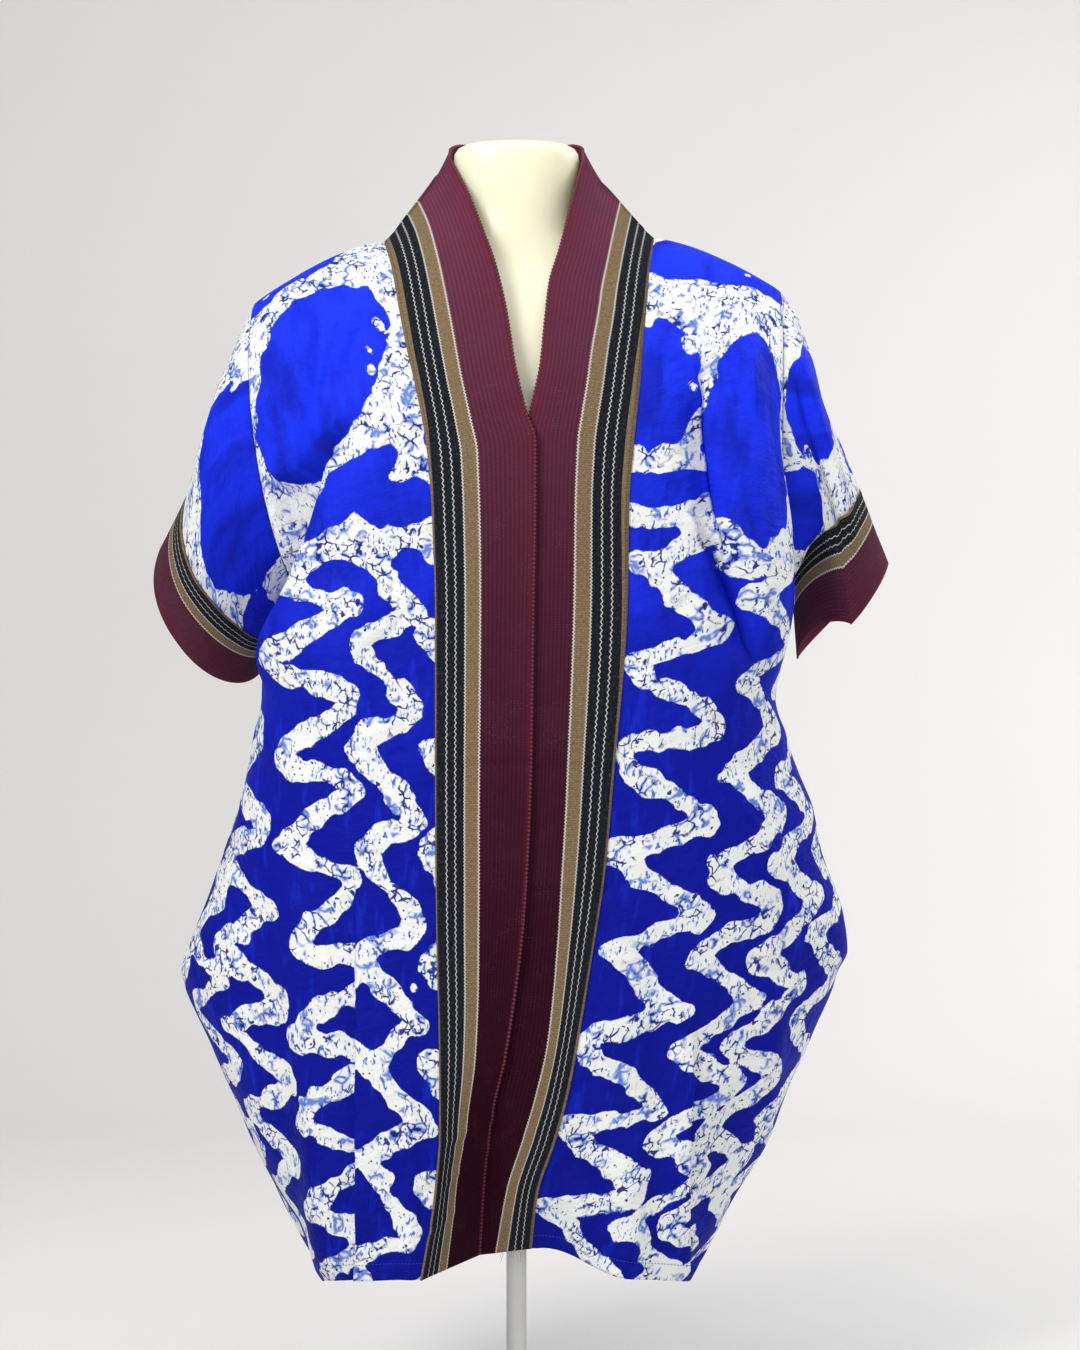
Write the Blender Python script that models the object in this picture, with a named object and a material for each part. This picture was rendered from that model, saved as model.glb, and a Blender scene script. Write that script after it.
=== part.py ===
"""A grand boubou robe of printed cotton with woven bands, standing on a limbless dress form.

The robe is open down the front. Every cloth piece is a thin wall whose outer skin is a grid of points
worked out from the tables below, and every seam between two pieces is a narrow gap.
Tables are in millimetres, and their heights count from STAND_RISE above the floor. +Z is up, the front
faces -Y, and +X is the wearer's left.
"""

import math
from collections import namedtuple

import bmesh
import bpy
import numpy as np

MM = 0.001
STAND_RISE = 70.0

COTTON = 1.5
WOVEN = 2.0
SEAM_GAP = 0.36

ARMPIT_HEIGHT = 678.0
HEM_HEIGHT_AT_SIDE = 50.0
HEM_RISE_IN_FRONT = 29.0
EDGE_PULL_REACH = 58.0
EDGE_PULL_SQUARENESS = 3
SHOULDER_ROUNDNESS = 1.9
SHOULDER_DROOP = 1.5
ARMHOLE_LEAN_ON_TOP = 0.48
ARMHOLE_LEAN_BELOW = 1.0
NECK_CENTRE_HEIGHT = 850.0
NECK_LEAN = 0.5
CREASE_ANGLE = math.radians(40)

# Heights, at the side seams, of the rows of points below the armpit.
ROW_HEIGHTS = (
    50, 76, 104, 134, 166, 198, 230, 262, 294, 318, 336, 360, 390, 424, 460, 497, 534, 570, 606, 642,
)
ROWS_BELOW = len(ROW_HEIGHTS)
TUBE_COLUMNS = 28
ROWS_ABOVE = TUBE_COLUMNS // 2 + 1
FRONT_COLUMNS = 22
SHOULDER_COLUMNS = 8
NECK_COLUMNS = 16
SLEEVE_ROWS = 9
CUFF_ROWS = 4
BAND_COLUMNS = 5
SAMPLES = 240
SEAM_EASE = 0.06
SIDE_EASE = 0.1
FRONT_FOLDS_END = 0.8
BACK_FOLDS_END = 0.6

# One column of each front follows the line of its deepest fold, and eases back beyond its ends.
GUIDE_COLUMN = 13
GUIDE_RELAX = 150.0
GUIDE_MARGIN = 0.15

# The body from the hem to the armpits: where the side seams run, how deep front and back are, and how
# square each corner of the section is (2 is an ellipse, more is boxier, less is more pointed).
Level = namedtuple("Level", "height right_side left_side front back right_corner left_corner back_corner")
LEVELS = (
    Level(50, -168, 156, 130, 138, 2.6, 2.6, 2.4),
    Level(79, -187, 172, 131, 140, 2.5, 2.5, 2.3),
    Level(130, -213, 196, 134, 143, 2.4, 2.4, 2.2),
    Level(180, -239, 221, 137, 146, 2.2, 2.2, 2.1),
    Level(225, -258, 244, 139, 148, 2.1, 2.1, 2.0),
    Level(278, -281, 269, 140, 149, 1.9, 1.9, 1.9),
    Level(312, -297, 284, 140, 149, 1.8, 1.9, 1.8),
    Level(328, -301, 289, 140, 149, 1.8, 1.8, 1.8),
    Level(347, -296, 298, 140, 149, 1.8, 1.8, 1.8),
    Level(380, -283, 294, 140, 148, 1.9, 1.9, 1.8),
    Level(432, -265, 276, 139, 146, 2.0, 2.0, 1.9),
    Level(482, -248, 260, 138, 144, 2.2, 2.1, 2.0),
    Level(530, -235, 241, 137, 142, 2.5, 2.3, 2.1),
    Level(572, -226, 233, 136, 140, 3.0, 2.6, 2.2),
    Level(620, -214, 238, 136, 138, 3.2, 3.2, 2.3),
    Level(678, -200, 236, 136, 135, 2.8, 3.0, 2.4),
)

# The woven bands, hem to nape: the edge sewn to the panel (out) and the free edge (in).
Station = namedtuple("Station", "out_x out_y out_z in_x in_y in_z crown")
RIGHT_BAND = (
    Station(-79.5, -130, 80, -31, -78, 90, 0),
    Station(-67, -133, 157, -26, -98, 166, 0),
    Station(-63, -137, 213, -19, -118, 222, 1),
    Station(-62.8, -140, 262, -8, -136, 272, 1),
    Station(-65.3, -140, 392, 8, -146, 397, 2),
    Station(-66.3, -138, 512, 13.5, -146, 514, 2),
    Station(-66.3, -136, 640, 15.5, -145, 650, 2),
    Station(-68.9, -133, 727, 17, -143, 740, 2),
    Station(-72.5, -128, 776, 17, -137, 793, 2),
    Station(-76.5, -121, 806, 9, -130, 820, 2),
    Station(-84, -110, 842, -1, -119, 863, 2),
    Station(-93, -94, 880, -8, -101, 908, 1),
    Station(-101, -74, 919, -18, -84, 952, 0),
    Station(-107, -53, 950, -29, -68, 984, -1),
    Station(-113, -28, 973, -43, -46, 1022, -3),
    Station(-117.5, 0, 985.6, -60, -14, 1058, -5),
    Station(-111, 36, 985, -61, 14, 1072, -5),
    Station(-84, 70, 984, -47, 45, 1074, -4),
    Station(-45, 86, 983, -25, 63, 1072, -3),
    Station(0, 90, 982, 0, 68, 1071, -3),
)
LEFT_BAND = (
    Station(12.4, -70, 94, -40, -75, 88, 0),
    Station(17.7, -100, 146, -36, -87, 150, 0),
    Station(33, -120, 197, -29, -105, 205, 0),
    Station(43, -132, 235, -24, -118, 240, 0),
    Station(51, -138, 277, -16, -131, 280, 0),
    Station(64.4, -140, 360, -6, -137.5, 362, 0),
    Station(74.5, -139, 425, 0, -139.5, 427, 1),
    Station(82, -138, 506, 5, -139.5, 508, 1),
    Station(94.2, -136, 659, 7, -139, 661, 1),
    Station(95.5, -133, 740, 8, -136.5, 745, 1),
    Station(99.5, -127, 790, 8.5, -130, 797, 1),
    Station(102, -121, 814, 14, -124.5, 824, 2),
    Station(105.5, -110, 843, 22, -115, 862, 2),
    Station(109, -94, 880, 26, -101, 903, 1),
    Station(112.3, -73, 917, 30, -88, 936, 0),
    Station(115.6, -51, 948, 39, -72, 968, 0),
    Station(119.8, -26, 974, 49, -50, 1010, 0),
    Station(122.9, 0, 988.3, 60, -16, 1055, -1),
    Station(115, 36, 987, 61, 14, 1072, -5),
    Station(86, 70, 985, 47, 45, 1074, -4),
    Station(46, 86, 983, 25, 63, 1072, -3),
    Station(0, 90, 982, 0, 68, 1071, -3),
)

# Rings of the sleeves and cuffs: four points round each tube, how full it is between them, and how far
# the low front of the rim is tucked up.
Ring = namedtuple("Ring", "top front under back fullness tuck")
RIGHT_SLEEVE = (
    Ring((-233.6, 0, 929.8), (-228.9, -72, 800), (-200, 0, 678), (-222, 70, 800), 2.1, 0),
    Ring((-255.2, 0, 882), (-249, -71, 780), (-208, 2, 671), (-236, 76, 788), 2.0, 0),
    Ring((-272.5, 0, 829), (-266, -66, 750), (-217, 12, 655), (-247, 81, 768), 1.9, 0),
    Ring((-293, 1, 758.8), (-286, -44, 684), (-230, 34, 628), (-256, 86, 722), 1.7, 0),
)
RIGHT_CUFF = (
    RIGHT_SLEEVE[-1],
    Ring((-321, 58, 722), (-307, 10, 625), (-238, 84, 593), (-270, 122, 691), 1.9, 0),
)
LEFT_SLEEVE = (
    Ring((236.3, 0, 940.6), (233.5, -72, 800), (236, 0, 678), (226, 70, 805), 2.1, 0),
    Ring((247.5, 0, 924), (243, -72, 794), (239, 1, 677), (233, 73, 798), 2.1, 0),
    Ring((260.5, 0, 890), (253, -70, 785), (243, 3, 678), (240, 77, 788), 2.0, 0),
    Ring((273.6, 0, 842), (268, -64, 765), (248, 13, 683), (252, 82, 770), 1.9, 0),
    Ring((308.2, 0, 761.5), (283, -50, 727), (251, 36, 690), (276, 86, 726), 1.7, 8),
)
LEFT_CUFF = (
    LEFT_SLEEVE[-1],
    Ring((336.5, 21, 697), (298, -30, 640), (259, 66, 610), (303, 104, 655), 1.7, 22),
)

# Folds on a panel, as lines seen from in front: a positive depth stands out, a negative one sinks in.
# Reach is how far the fold spreads to the wearer's right (-X) and left (+X) of its line. Fades are the
# shares of the line over which the fold grows and dies away.
Fold = namedtuple("Fold", "x_top z_top x_end z_end bow depth reach_right reach_left fade_top fade_end")
RIGHT_FRONT_FOLDS = (
    Fold(-161, 806, -222, 625, 0, -34, 30, 13, 0.25, 0.35),
    Fold(-144, 806, -214, 570, 0, 11, 14, 40, 0.3, 0.3),
    Fold(-198, 725, -215, 558, 0, 10, 22, 26, 0.35, 0.35),
    Fold(-148, 816, -216, 772, 4, 10, 24, 14, 0.3, 0.3),
    Fold(-172, 930, -176, 820, 3, 5, 15, 15, 0.4, 0.4),
    Fold(-135, 940, -146, 830, 2, -4, 13, 13, 0.4, 0.4),
    Fold(-134, 470, -139, 60, 2, -10, 15, 13, 0.3, 0),
    Fold(-112, 440, -116, 60, 0, 5, 16, 16, 0.4, 0),
    Fold(-196, 470, -165, 60, 8, 8, 24, 20, 0.4, 0),
    Fold(-232, 420, -190, 60, 6, -7, 18, 18, 0.4, 0),
    Fold(-120, 700, -175, 540, 6, 5, 14, 22, 0.4, 0.4),
)
LEFT_FRONT_FOLDS = (
    Fold(156, 880, 226, 560, -13, -24, 20, 15, 0.25, 0.3),
    Fold(196, 930, 234, 600, 4, 13, 22, 18, 0.25, 0.25),
    Fold(142, 735, 196, 620, 5, 8, 26, 15, 0.3, 0.3),
    Fold(176, 520, 244, 400, 6, 8, 26, 16, 0.35, 0.35),
    Fold(152, 330, 170, 45, -4, 9, 20, 16, 0.4, 0),
    Fold(178, 300, 194, 45, -4, -6, 18, 16, 0.4, 0),
    Fold(116, 420, 120, 60, 4, -6, 18, 18, 0.4, 0),
    Fold(214, 380, 196, 60, 5, 7, 18, 18, 0.4, 0),
    Fold(134, 900, 140, 800, 0, 4, 16, 16, 0.4, 0.4),
)
BACK_FOLDS = (
    Fold(-160, 900, -212, 50, 8, 10, 24, 22, 0.3, 0),
    Fold(-112, 850, -160, 50, -5, -9, 18, 20, 0.3, 0),
    Fold(-66, 890, -104, 50, 4, 9, 22, 20, 0.3, 0),
    Fold(-20, 820, -52, 50, 4, -7, 20, 20, 0.4, 0),
    Fold(28, 900, 12, 50, -6, 9, 22, 24, 0.3, 0),
    Fold(66, 800, 68, 50, 5, -8, 18, 18, 0.3, 0),
    Fold(104, 880, 128, 50, 6, 10, 20, 22, 0.3, 0),
    Fold(146, 820, 176, 50, -4, -7, 18, 18, 0.4, 0),
    Fold(178, 890, 222, 50, -6, 8, 20, 20, 0.3, 0),
    Fold(-196, 690, -96, 570, 8, 7, 16, 16, 0.4, 0.4),
    Fold(222, 700, 118, 560, -8, 7, 16, 16, 0.4, 0.4),
)

# The dress form, from its flat underside to the top of its neck.
Slice = namedtuple("Slice", "height half_width front back corner")
FORM = (
    Slice(360, 158, 92, 100, 2.2),
    Slice(372, 166, 98, 106, 2.2),
    Slice(470, 168, 102, 112, 2.2),
    Slice(560, 148, 97, 98, 2.2),
    Slice(640, 132, 94, 84, 2.2),
    Slice(740, 146, 102, 92, 2.2),
    Slice(830, 162, 104, 98, 2.2),
    Slice(885, 172, 92, 92, 2.1),
    Slice(920, 174, 76, 80, 2.0),
    Slice(944, 152, 62, 68, 2.0),
    Slice(962, 118, 52, 60, 2.0),
    Slice(976, 82, 48, 54, 2.0),
    Slice(990, 60, 46, 50, 2.0),
    Slice(1010, 55, 44, 47, 2.1),
    Slice(1058, 56.5, 46, 48, 2.2),
    Slice(1065, 54.5, 44, 46, 2.2),
    Slice(1069, 48, 38, 40, 2.2),
)
FORM_COLUMNS = 28

POLE_RADIUS = 9.0
BASE_RADIUS = 145.0
BASE_THICKNESS = 12.0
BASE_EDGE = 3.0
STAND_SIDES = 48
REST_GAP = 0.3


# ---- curves read from the tables -------------------------------------------------------------------

def through(keys, values, at):
    """A smooth curve through values at rising keys that never swings past its neighbours."""
    keys = np.asarray(keys, float)
    values = np.asarray(values, float)
    steps = np.diff(keys)
    slopes = np.diff(values) / steps
    before, after = slopes[:-1], slopes[1:]
    turning = before * after <= 0
    inner = np.where(turning, 0.0, 2 * before * after / np.where(turning, 1.0, before + after))
    tangents = np.concatenate([[slopes[0]], inner, [slopes[-1]]])
    at = np.clip(at, keys[0], keys[-1])
    i = np.clip(np.searchsorted(keys, at) - 1, 0, len(steps) - 1)
    t = (at - keys[i]) / steps[i]
    return (
        values[i] * (1 + 2 * t) * (1 - t) ** 2
        + values[i + 1] * t * t * (3 - 2 * t)
        + steps[i] * (tangents[i] * t * (1 - t) ** 2 + tangents[i + 1] * t * t * (t - 1))
    )


def column(table, name, key, at):
    """One column of a table, read as a smooth curve over another of its columns."""
    return through([getattr(row, key) for row in table], [getattr(row, name) for row in table], at)


def smooth_step(x):
    x = np.clip(x, 0, 1)
    return x * x * (3 - 2 * x)


def unit(vectors):
    return vectors / np.linalg.norm(vectors, axis=-1, keepdims=True)


def signed_power(values, exponent):
    return np.sign(values) * np.abs(values) ** exponent


def placed(point):
    """A table point in metres above the floor."""
    return (np.asarray(point) + (0.0, 0.0, STAND_RISE)) * MM


def points(*parts):
    """(..., 3) points from their x, y and z."""
    return np.stack(np.broadcast_arrays(*parts), axis=-1).astype(float)


# ---- rings of the sleeves --------------------------------------------------------------------------

def ring_points(ring, angles):
    """Points round a ring: 0 is its top, 90 degrees its front, 180 its underside and 270 its back."""
    top, front, under, back = (np.array(p, float) for p in ring[:4])
    power = 2 / ring.fullness
    up = signed_power(np.cos(angles), power)[..., None]
    out = signed_power(np.sin(angles), power)[..., None]
    middle = (top + under + front + back) / 4
    skew = (top + under - front - back) / 4
    skin = middle + up * (top - under) / 2 + out * (front - back) / 2 + (up ** 2 - out ** 2) * skew
    low_front = (np.cos(angles) < 0) & (np.sin(angles) > 0)
    skin[..., 2] += ring.tuck * np.clip(-np.sin(2 * angles), 0, 1) * low_front
    return skin


def rings_between(rings, share, angles):
    """The ring a share of the way along a tube that passes through all of its rings."""
    places = np.linspace(0, 1, len(rings))
    stack = np.stack([ring_points(ring, angles) for ring in rings])
    flat = stack.reshape(len(rings), -1)
    read = np.array([through(places, flat[:, i], share) for i in range(flat.shape[1])])
    return read.reshape(stack.shape[1:])


def armhole_direction(ring, angles, side):
    """Which way is outward on the armhole seam: shared by the sleeve and both of its panels."""
    skin = ring_points(ring, angles)
    radial = skin - np.array(ring.top) / 2 - np.array(ring.under) / 2
    radial[..., 0] = 0
    radial = unit(radial)
    lean = ARMHOLE_LEAN_ON_TOP + (ARMHOLE_LEAN_BELOW - ARMHOLE_LEAN_ON_TOP) * (1 - np.cos(angles)) / 2
    return unit(radial + points(side * lean, 0, 0))


def neck_direction(skin):
    """Which way is outward on the seam between the bands and the panels."""
    centre = np.minimum(skin[..., 2], NECK_CENTRE_HEIGHT)
    return unit(points(skin[..., 0] * NECK_LEAN, skin[..., 1], skin[..., 2] - centre))


# ---- panels ----------------------------------------------------------------------------------------

def fold_depth(x, z, folds):
    """How far the folds lift each point of a panel off its plain form."""
    lift = np.zeros(np.broadcast(x, z).shape)
    for fold in folds:
        along_x = fold.x_end - fold.x_top
        along_z = fold.z_end - fold.z_top
        length = math.hypot(along_x, along_z)
        along_x /= length
        along_z /= length
        from_x = x - fold.x_top
        from_z = z - fold.z_top
        along = (from_x * along_x + from_z * along_z) / length
        inside = np.clip(along, 0, 1)
        across = -from_x * along_z + from_z * along_x - fold.bow * 4 * inside * (1 - inside)
        grow = smooth_step(along / max(fold.fade_top, 0.01))
        die = smooth_step((1 - along) / fold.fade_end) if fold.fade_end else 1.0
        reach = np.where(across < 0, fold.reach_right, fold.reach_left)
        lift += fold.depth * np.exp(-((across / reach) ** 2)) * grow * die
    return lift


def section(corner, share):
    """(out, depth) shares along a quarter of a body section: 0 is its middle and 1 its side."""
    angle = share * math.pi / 2
    return np.sin(angle) ** (2 / corner), np.cos(angle) ** (2 / corner)


def fold_row(row, folds, faces, hold_start, hold_end):
    """Lifts a dense row of points by the folds, outward from the body, but not at a seam."""
    share = np.linspace(0, 1, len(row))
    lift = fold_depth(row[:, 0], row[:, 2], folds)
    if hold_start:
        lift *= smooth_step(share / hold_start)
    lift *= smooth_step((1 - share) / hold_end)
    tangent = np.gradient(row, axis=0)
    tangent[:, 2] = 0
    tangent = unit(tangent + np.array([1e-9, 0, 0]))
    outward = points(tangent[:, 1], -tangent[:, 0], 0) * faces
    return row + outward * lift[:, None]


def row_lengths(row):
    """How far along a dense row each of its points is."""
    return np.concatenate([[0], np.cumsum(np.linalg.norm(np.diff(row, axis=0), axis=1))])


def even_row(row, count):
    """The same row with its points the same distance apart."""
    length = row_lengths(row)
    at = np.linspace(0, length[-1], count)
    return np.stack([np.interp(at, length, row[:, axis]) for axis in range(3)], axis=-1)


def guided_row(plain, lifted, side, guide):
    """A front row's columns: evenly apart on each side of the one that follows the guide fold."""
    length = row_lengths(plain)
    even = length[-1] * GUIDE_COLUMN / (FRONT_COLUMNS - 1)
    height = np.interp(even, length, plain[:, 2])
    down = np.clip((guide.z_top - height) / (guide.z_top - guide.z_end), 0, 1)
    line = guide.x_top + (guide.x_end - guide.x_top) * down + guide.bow * 4 * down * (1 - down)
    crossing = np.interp(line * side, plain[:, 0] * side, length)
    beyond = max(height - guide.z_top, guide.z_end - height, 0)
    stand = crossing + (even - crossing) * smooth_step(beyond / GUIDE_RELAX)
    stand = np.clip(stand, length[-1] * GUIDE_MARGIN, length[-1] * (1 - GUIDE_MARGIN))
    before = np.linspace(0, stand, GUIDE_COLUMN + 1)
    after = np.linspace(stand, length[-1], FRONT_COLUMNS - GUIDE_COLUMN)
    at = np.concatenate([before, after[1:]])
    return np.stack([np.interp(at, length, lifted[:, axis]) for axis in range(3)], axis=-1)


def shoulder_line(band, sleeve, share):
    """The shoulder seam, from the band's edge out to the top of the armhole."""
    neck = max(band, key=lambda station: abs(station.out_x))
    top = sleeve[0].top
    x = neck.out_x + (top[0] - neck.out_x) * share
    z = neck.out_z + (top[2] - neck.out_z) * share ** SHOULDER_DROOP
    return points(x, 0, z)


def band_front(band):
    """The stations of a band from the hem up to the shoulder seam."""
    return [station for station in band if station.out_y <= 0]


def band_edge(band, height):
    front = band_front(band)
    return points(
        column(front, "out_x", "out_z", height), column(front, "out_y", "out_z", height), height
    )


def shares_below():
    """How far up each row below the armpit is, from the hem (0) to the armpit (1)."""
    heights = np.array(ROW_HEIGHTS, float)
    return (heights - HEM_HEIGHT_AT_SIDE) / (ARMPIT_HEIGHT - HEM_HEIGHT_AT_SIDE)


def front_row_below(band, side, share_up):
    """A dense row of a front panel between the hem (0) and the armpit (1)."""
    share = np.linspace(0, 1, SAMPLES)
    edge_hem = band[0].out_z
    edge_height = edge_hem + (ARMPIT_HEIGHT - edge_hem) * share_up
    side_height = HEM_HEIGHT_AT_SIDE + (ARMPIT_HEIGHT - HEM_HEIGHT_AT_SIDE) * share_up
    edge = band_edge(band, edge_height)
    name = "right" if side < 0 else "left"
    side_x = column(LEVELS, name + "_side", "height", side_height)
    depth = column(LEVELS, "front", "height", side_height)
    corner = column(LEVELS, name + "_corner", "height", side_height)
    out, ahead = section(corner, share)
    x = edge[0] + (side_x - edge[0]) * out
    pull = np.exp(-((np.abs(x - edge[0]) / EDGE_PULL_REACH) ** EDGE_PULL_SQUARENESS))
    y = -depth * ahead + (edge[1] + depth) * pull
    hem = HEM_HEIGHT_AT_SIDE + HEM_RISE_IN_FRONT * ahead
    hem = hem + (edge_hem - HEM_HEIGHT_AT_SIDE - HEM_RISE_IN_FRONT) * pull
    z = hem + (ARMPIT_HEIGHT - hem) * share_up
    return points(x, y, z)


def rolled(bottom, top, share_up, roundness):
    """A quarter turn from the armpit row, straight up, over to the seam on top."""
    angle = share_up * math.pi / 2
    rise = math.sin(angle) ** (2 / roundness)
    run = math.cos(angle) ** (2 / roundness) if share_up < 1 else 0.0
    row = np.empty_like(bottom)
    row[:, 0] = bottom[:, 0] + (top[:, 0] - bottom[:, 0]) * rise
    row[:, 1] = top[:, 1] + (bottom[:, 1] - top[:, 1]) * run
    row[:, 2] = bottom[:, 2] + (top[:, 2] - bottom[:, 2]) * rise
    return row


def front_row_above(band, sleeve, side, share_up):
    """A dense row of a front panel between the armpit (0) and the shoulder seam (1)."""
    bottom = front_row_below(band, side, 1.0)
    share = np.linspace(0, 1, SAMPLES)
    row = rolled(bottom, shoulder_line(band, sleeve, share), share_up, SHOULDER_ROUNDNESS)
    edge = band_edge(band, row[0, 2])
    arm = ring_points(sleeve[0], np.array(math.pi * (1 - share_up)))
    row += (edge - row[0]) * ((1 - share) ** 3)[:, None]
    row += (arm - row[-1]) * (share ** 3)[:, None]
    return row


def front_panel(band, sleeve, side, folds):
    """The outer skin of a front panel: rows from hem to shoulder, columns from band to side."""
    rows = []
    for share_up in shares_below():
        row = front_row_below(band, side, share_up)
        lifted = fold_row(row, folds, side, SEAM_EASE, SIDE_EASE)
        rows.append(guided_row(row, lifted, side, folds[0]))
    for share_up in np.linspace(0, 1, ROWS_ABOVE):
        hold = 1 - smooth_step((share_up - FRONT_FOLDS_END) / (1 - FRONT_FOLDS_END))
        row = front_row_above(band, sleeve, side, share_up)
        lifted = fold_row(row, folds, side, SEAM_EASE, SIDE_EASE)
        rows.append(guided_row(row, row + (lifted - row) * hold, side, folds[0]))
    return np.array(rows)


def back_row_below(share_up):
    """A dense row of the back from the right side seam round to the left one."""
    height = HEM_HEIGHT_AT_SIDE + (ARMPIT_HEIGHT - HEM_HEIGHT_AT_SIDE) * share_up
    share = np.linspace(-1, 1, SAMPLES * 2 + 1)
    out, behind = section(column(LEVELS, "back_corner", "height", height), np.abs(share))
    right = column(LEVELS, "right_side", "height", height)
    left = column(LEVELS, "left_side", "height", height)
    x = np.where(share < 0, -right, left) * out * np.sign(share)
    return points(x, column(LEVELS, "back", "height", height) * behind, height)


def band_behind(band):
    """The stations of a band from the nape round to the shoulder seam."""
    return [station for station in reversed(band) if station.out_y >= 0]


def behind_column(band, name, out):
    """One column of a band behind the neck, read by how far its seam is from the middle."""
    stations = band_behind(band)
    return through([abs(s.out_x) for s in stations], [getattr(s, name) for s in stations], out)


def neck_half_width(band):
    return abs(band_behind(band)[-1].out_x)


def back_top():
    """The top edge of the back, densely: shoulder seam, neckline, shoulder seam."""
    halves = []
    for band, sleeve in ((RIGHT_BAND, RIGHT_SLEEVE), (LEFT_BAND, LEFT_SLEEVE)):
        out = np.linspace(0, neck_half_width(band), SAMPLES // 2, endpoint=False)
        neckline = points(*(behind_column(band, name, out) for name in ("out_x", "out_y", "out_z")))
        shoulder = shoulder_line(band, sleeve, np.linspace(0, 1, SAMPLES + 1 - SAMPLES // 2))
        halves.append(np.concatenate([neckline, shoulder]))
    return np.concatenate([halves[0][::-1], halves[1][1:]])


def back_row_above(share_up):
    """A dense row of the back between the armpits (0) and its top edge (1)."""
    bottom = back_row_below(1.0)
    share = np.linspace(-1, 1, len(bottom))
    row = rolled(bottom, back_top(), share_up, SHOULDER_ROUNDNESS)
    angle = np.array(math.pi * (1 + share_up))
    row += (ring_points(RIGHT_SLEEVE[0], angle) - row[0]) * (np.clip(-share, 0, 1) ** 3)[:, None]
    row += (ring_points(LEFT_SLEEVE[0], angle) - row[-1]) * (np.clip(share, 0, 1) ** 3)[:, None]
    return row


def neck_outs(band):
    """How far from the middle the shared points of the neck seam are, from the nape outward."""
    angle = np.linspace(0, math.pi / 2, NECK_COLUMNS // 2 + 1)
    return neck_half_width(band) * np.sin(angle)


def back_top_row():
    """The top edge of the back, with its neckline points where the bands have theirs."""
    halves = []
    for band, sleeve in ((RIGHT_BAND, RIGHT_SLEEVE), (LEFT_BAND, LEFT_SLEEVE)):
        out = neck_outs(band)
        neckline = points(*(behind_column(band, name, out) for name in ("out_x", "out_y", "out_z")))
        shoulder = shoulder_line(band, sleeve, np.linspace(0, 1, SHOULDER_COLUMNS + 1))
        halves.append(np.concatenate([neckline, shoulder[1:]]))
    return np.concatenate([halves[0][::-1], halves[1][1:]])


def back_panel():
    """The outer skin of the back: rows from hem to neck, columns from the right side to the left."""
    columns = NECK_COLUMNS + 2 * SHOULDER_COLUMNS + 1
    rows = []
    for share_up in shares_below():
        row = fold_row(back_row_below(share_up), BACK_FOLDS, -1, SEAM_EASE, SEAM_EASE)
        rows.append(even_row(row, columns))
    for share_up in np.linspace(0, 1, ROWS_ABOVE)[:-1]:
        hold = 1 - smooth_step((share_up - BACK_FOLDS_END) / (1 - BACK_FOLDS_END))
        row = back_row_above(share_up)
        lifted = fold_row(row, BACK_FOLDS, -1, SEAM_EASE, SEAM_EASE)
        rows.append(even_row(row + (lifted - row) * hold, columns))
    rows.append(back_top_row())
    return np.array(rows)


def tube(rings, rows):
    """The outer skin of a sleeve or cuff: rows along it, columns round it, open at both ends."""
    return np.array([rings_between(rings, share, tube_angles()) for share in np.linspace(0, 1, rows)])


def tube_angles():
    return np.linspace(0, 2 * math.pi, TUBE_COLUMNS, endpoint=False)


def band_strip(band, panel, side):
    """The outer skin of a woven band: rows from hem to nape, columns from its seam to its free edge."""
    heights = panel[:, 0, 2]
    outs = neck_outs(band)[::-1][1:]
    read = {}
    for name in Station._fields:
        before = column(band_front(band), name, "out_z", heights)
        read[name] = np.concatenate([before, behind_column(band, name, outs)])
    seam = points(read["out_x"], read["out_y"], read["out_z"])
    free = points(read["in_x"], read["in_y"], read["in_z"])
    along = np.gradient((seam + free) / 2, axis=0)
    outward = np.cross(free - seam, along) * -side
    outward[-1, 0] = 0
    outward = unit(outward)
    share = np.linspace(0, 1, BAND_COLUMNS)[None, :, None]
    crown = (outward * read["crown"][:, None])[:, None, :] * 4 * share * (1 - share)
    return seam[:, None, :] + (free - seam)[:, None, :] * share + crown


# ---- walls -----------------------------------------------------------------------------------------

def skin_directions(skin, facing, closed=False):
    """Which way each point of a skin faces. Facing is 1 or -1: the turn from columns to rows."""
    if closed:
        across = np.roll(skin, -1, axis=1) - np.roll(skin, 1, axis=1)
    else:
        across = np.gradient(skin, axis=1)
    return unit(np.cross(across, np.gradient(skin, axis=0))) * facing


def trim(skin, first_row=False, last_row=False, first_column=False, last_column=False):
    """Draws the named edges in by half of the seam gap."""
    skin = skin.copy()
    half = SEAM_GAP / 2
    if first_row:
        skin[0] += unit(skin[1] - skin[0]) * half
    if last_row:
        skin[-1] += unit(skin[-2] - skin[-1]) * half
    if first_column:
        skin[:, 0] += unit(skin[:, 1] - skin[:, 0]) * half
    if last_column:
        skin[:, -1] += unit(skin[:, -2] - skin[:, -1]) * half
    return skin


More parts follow.
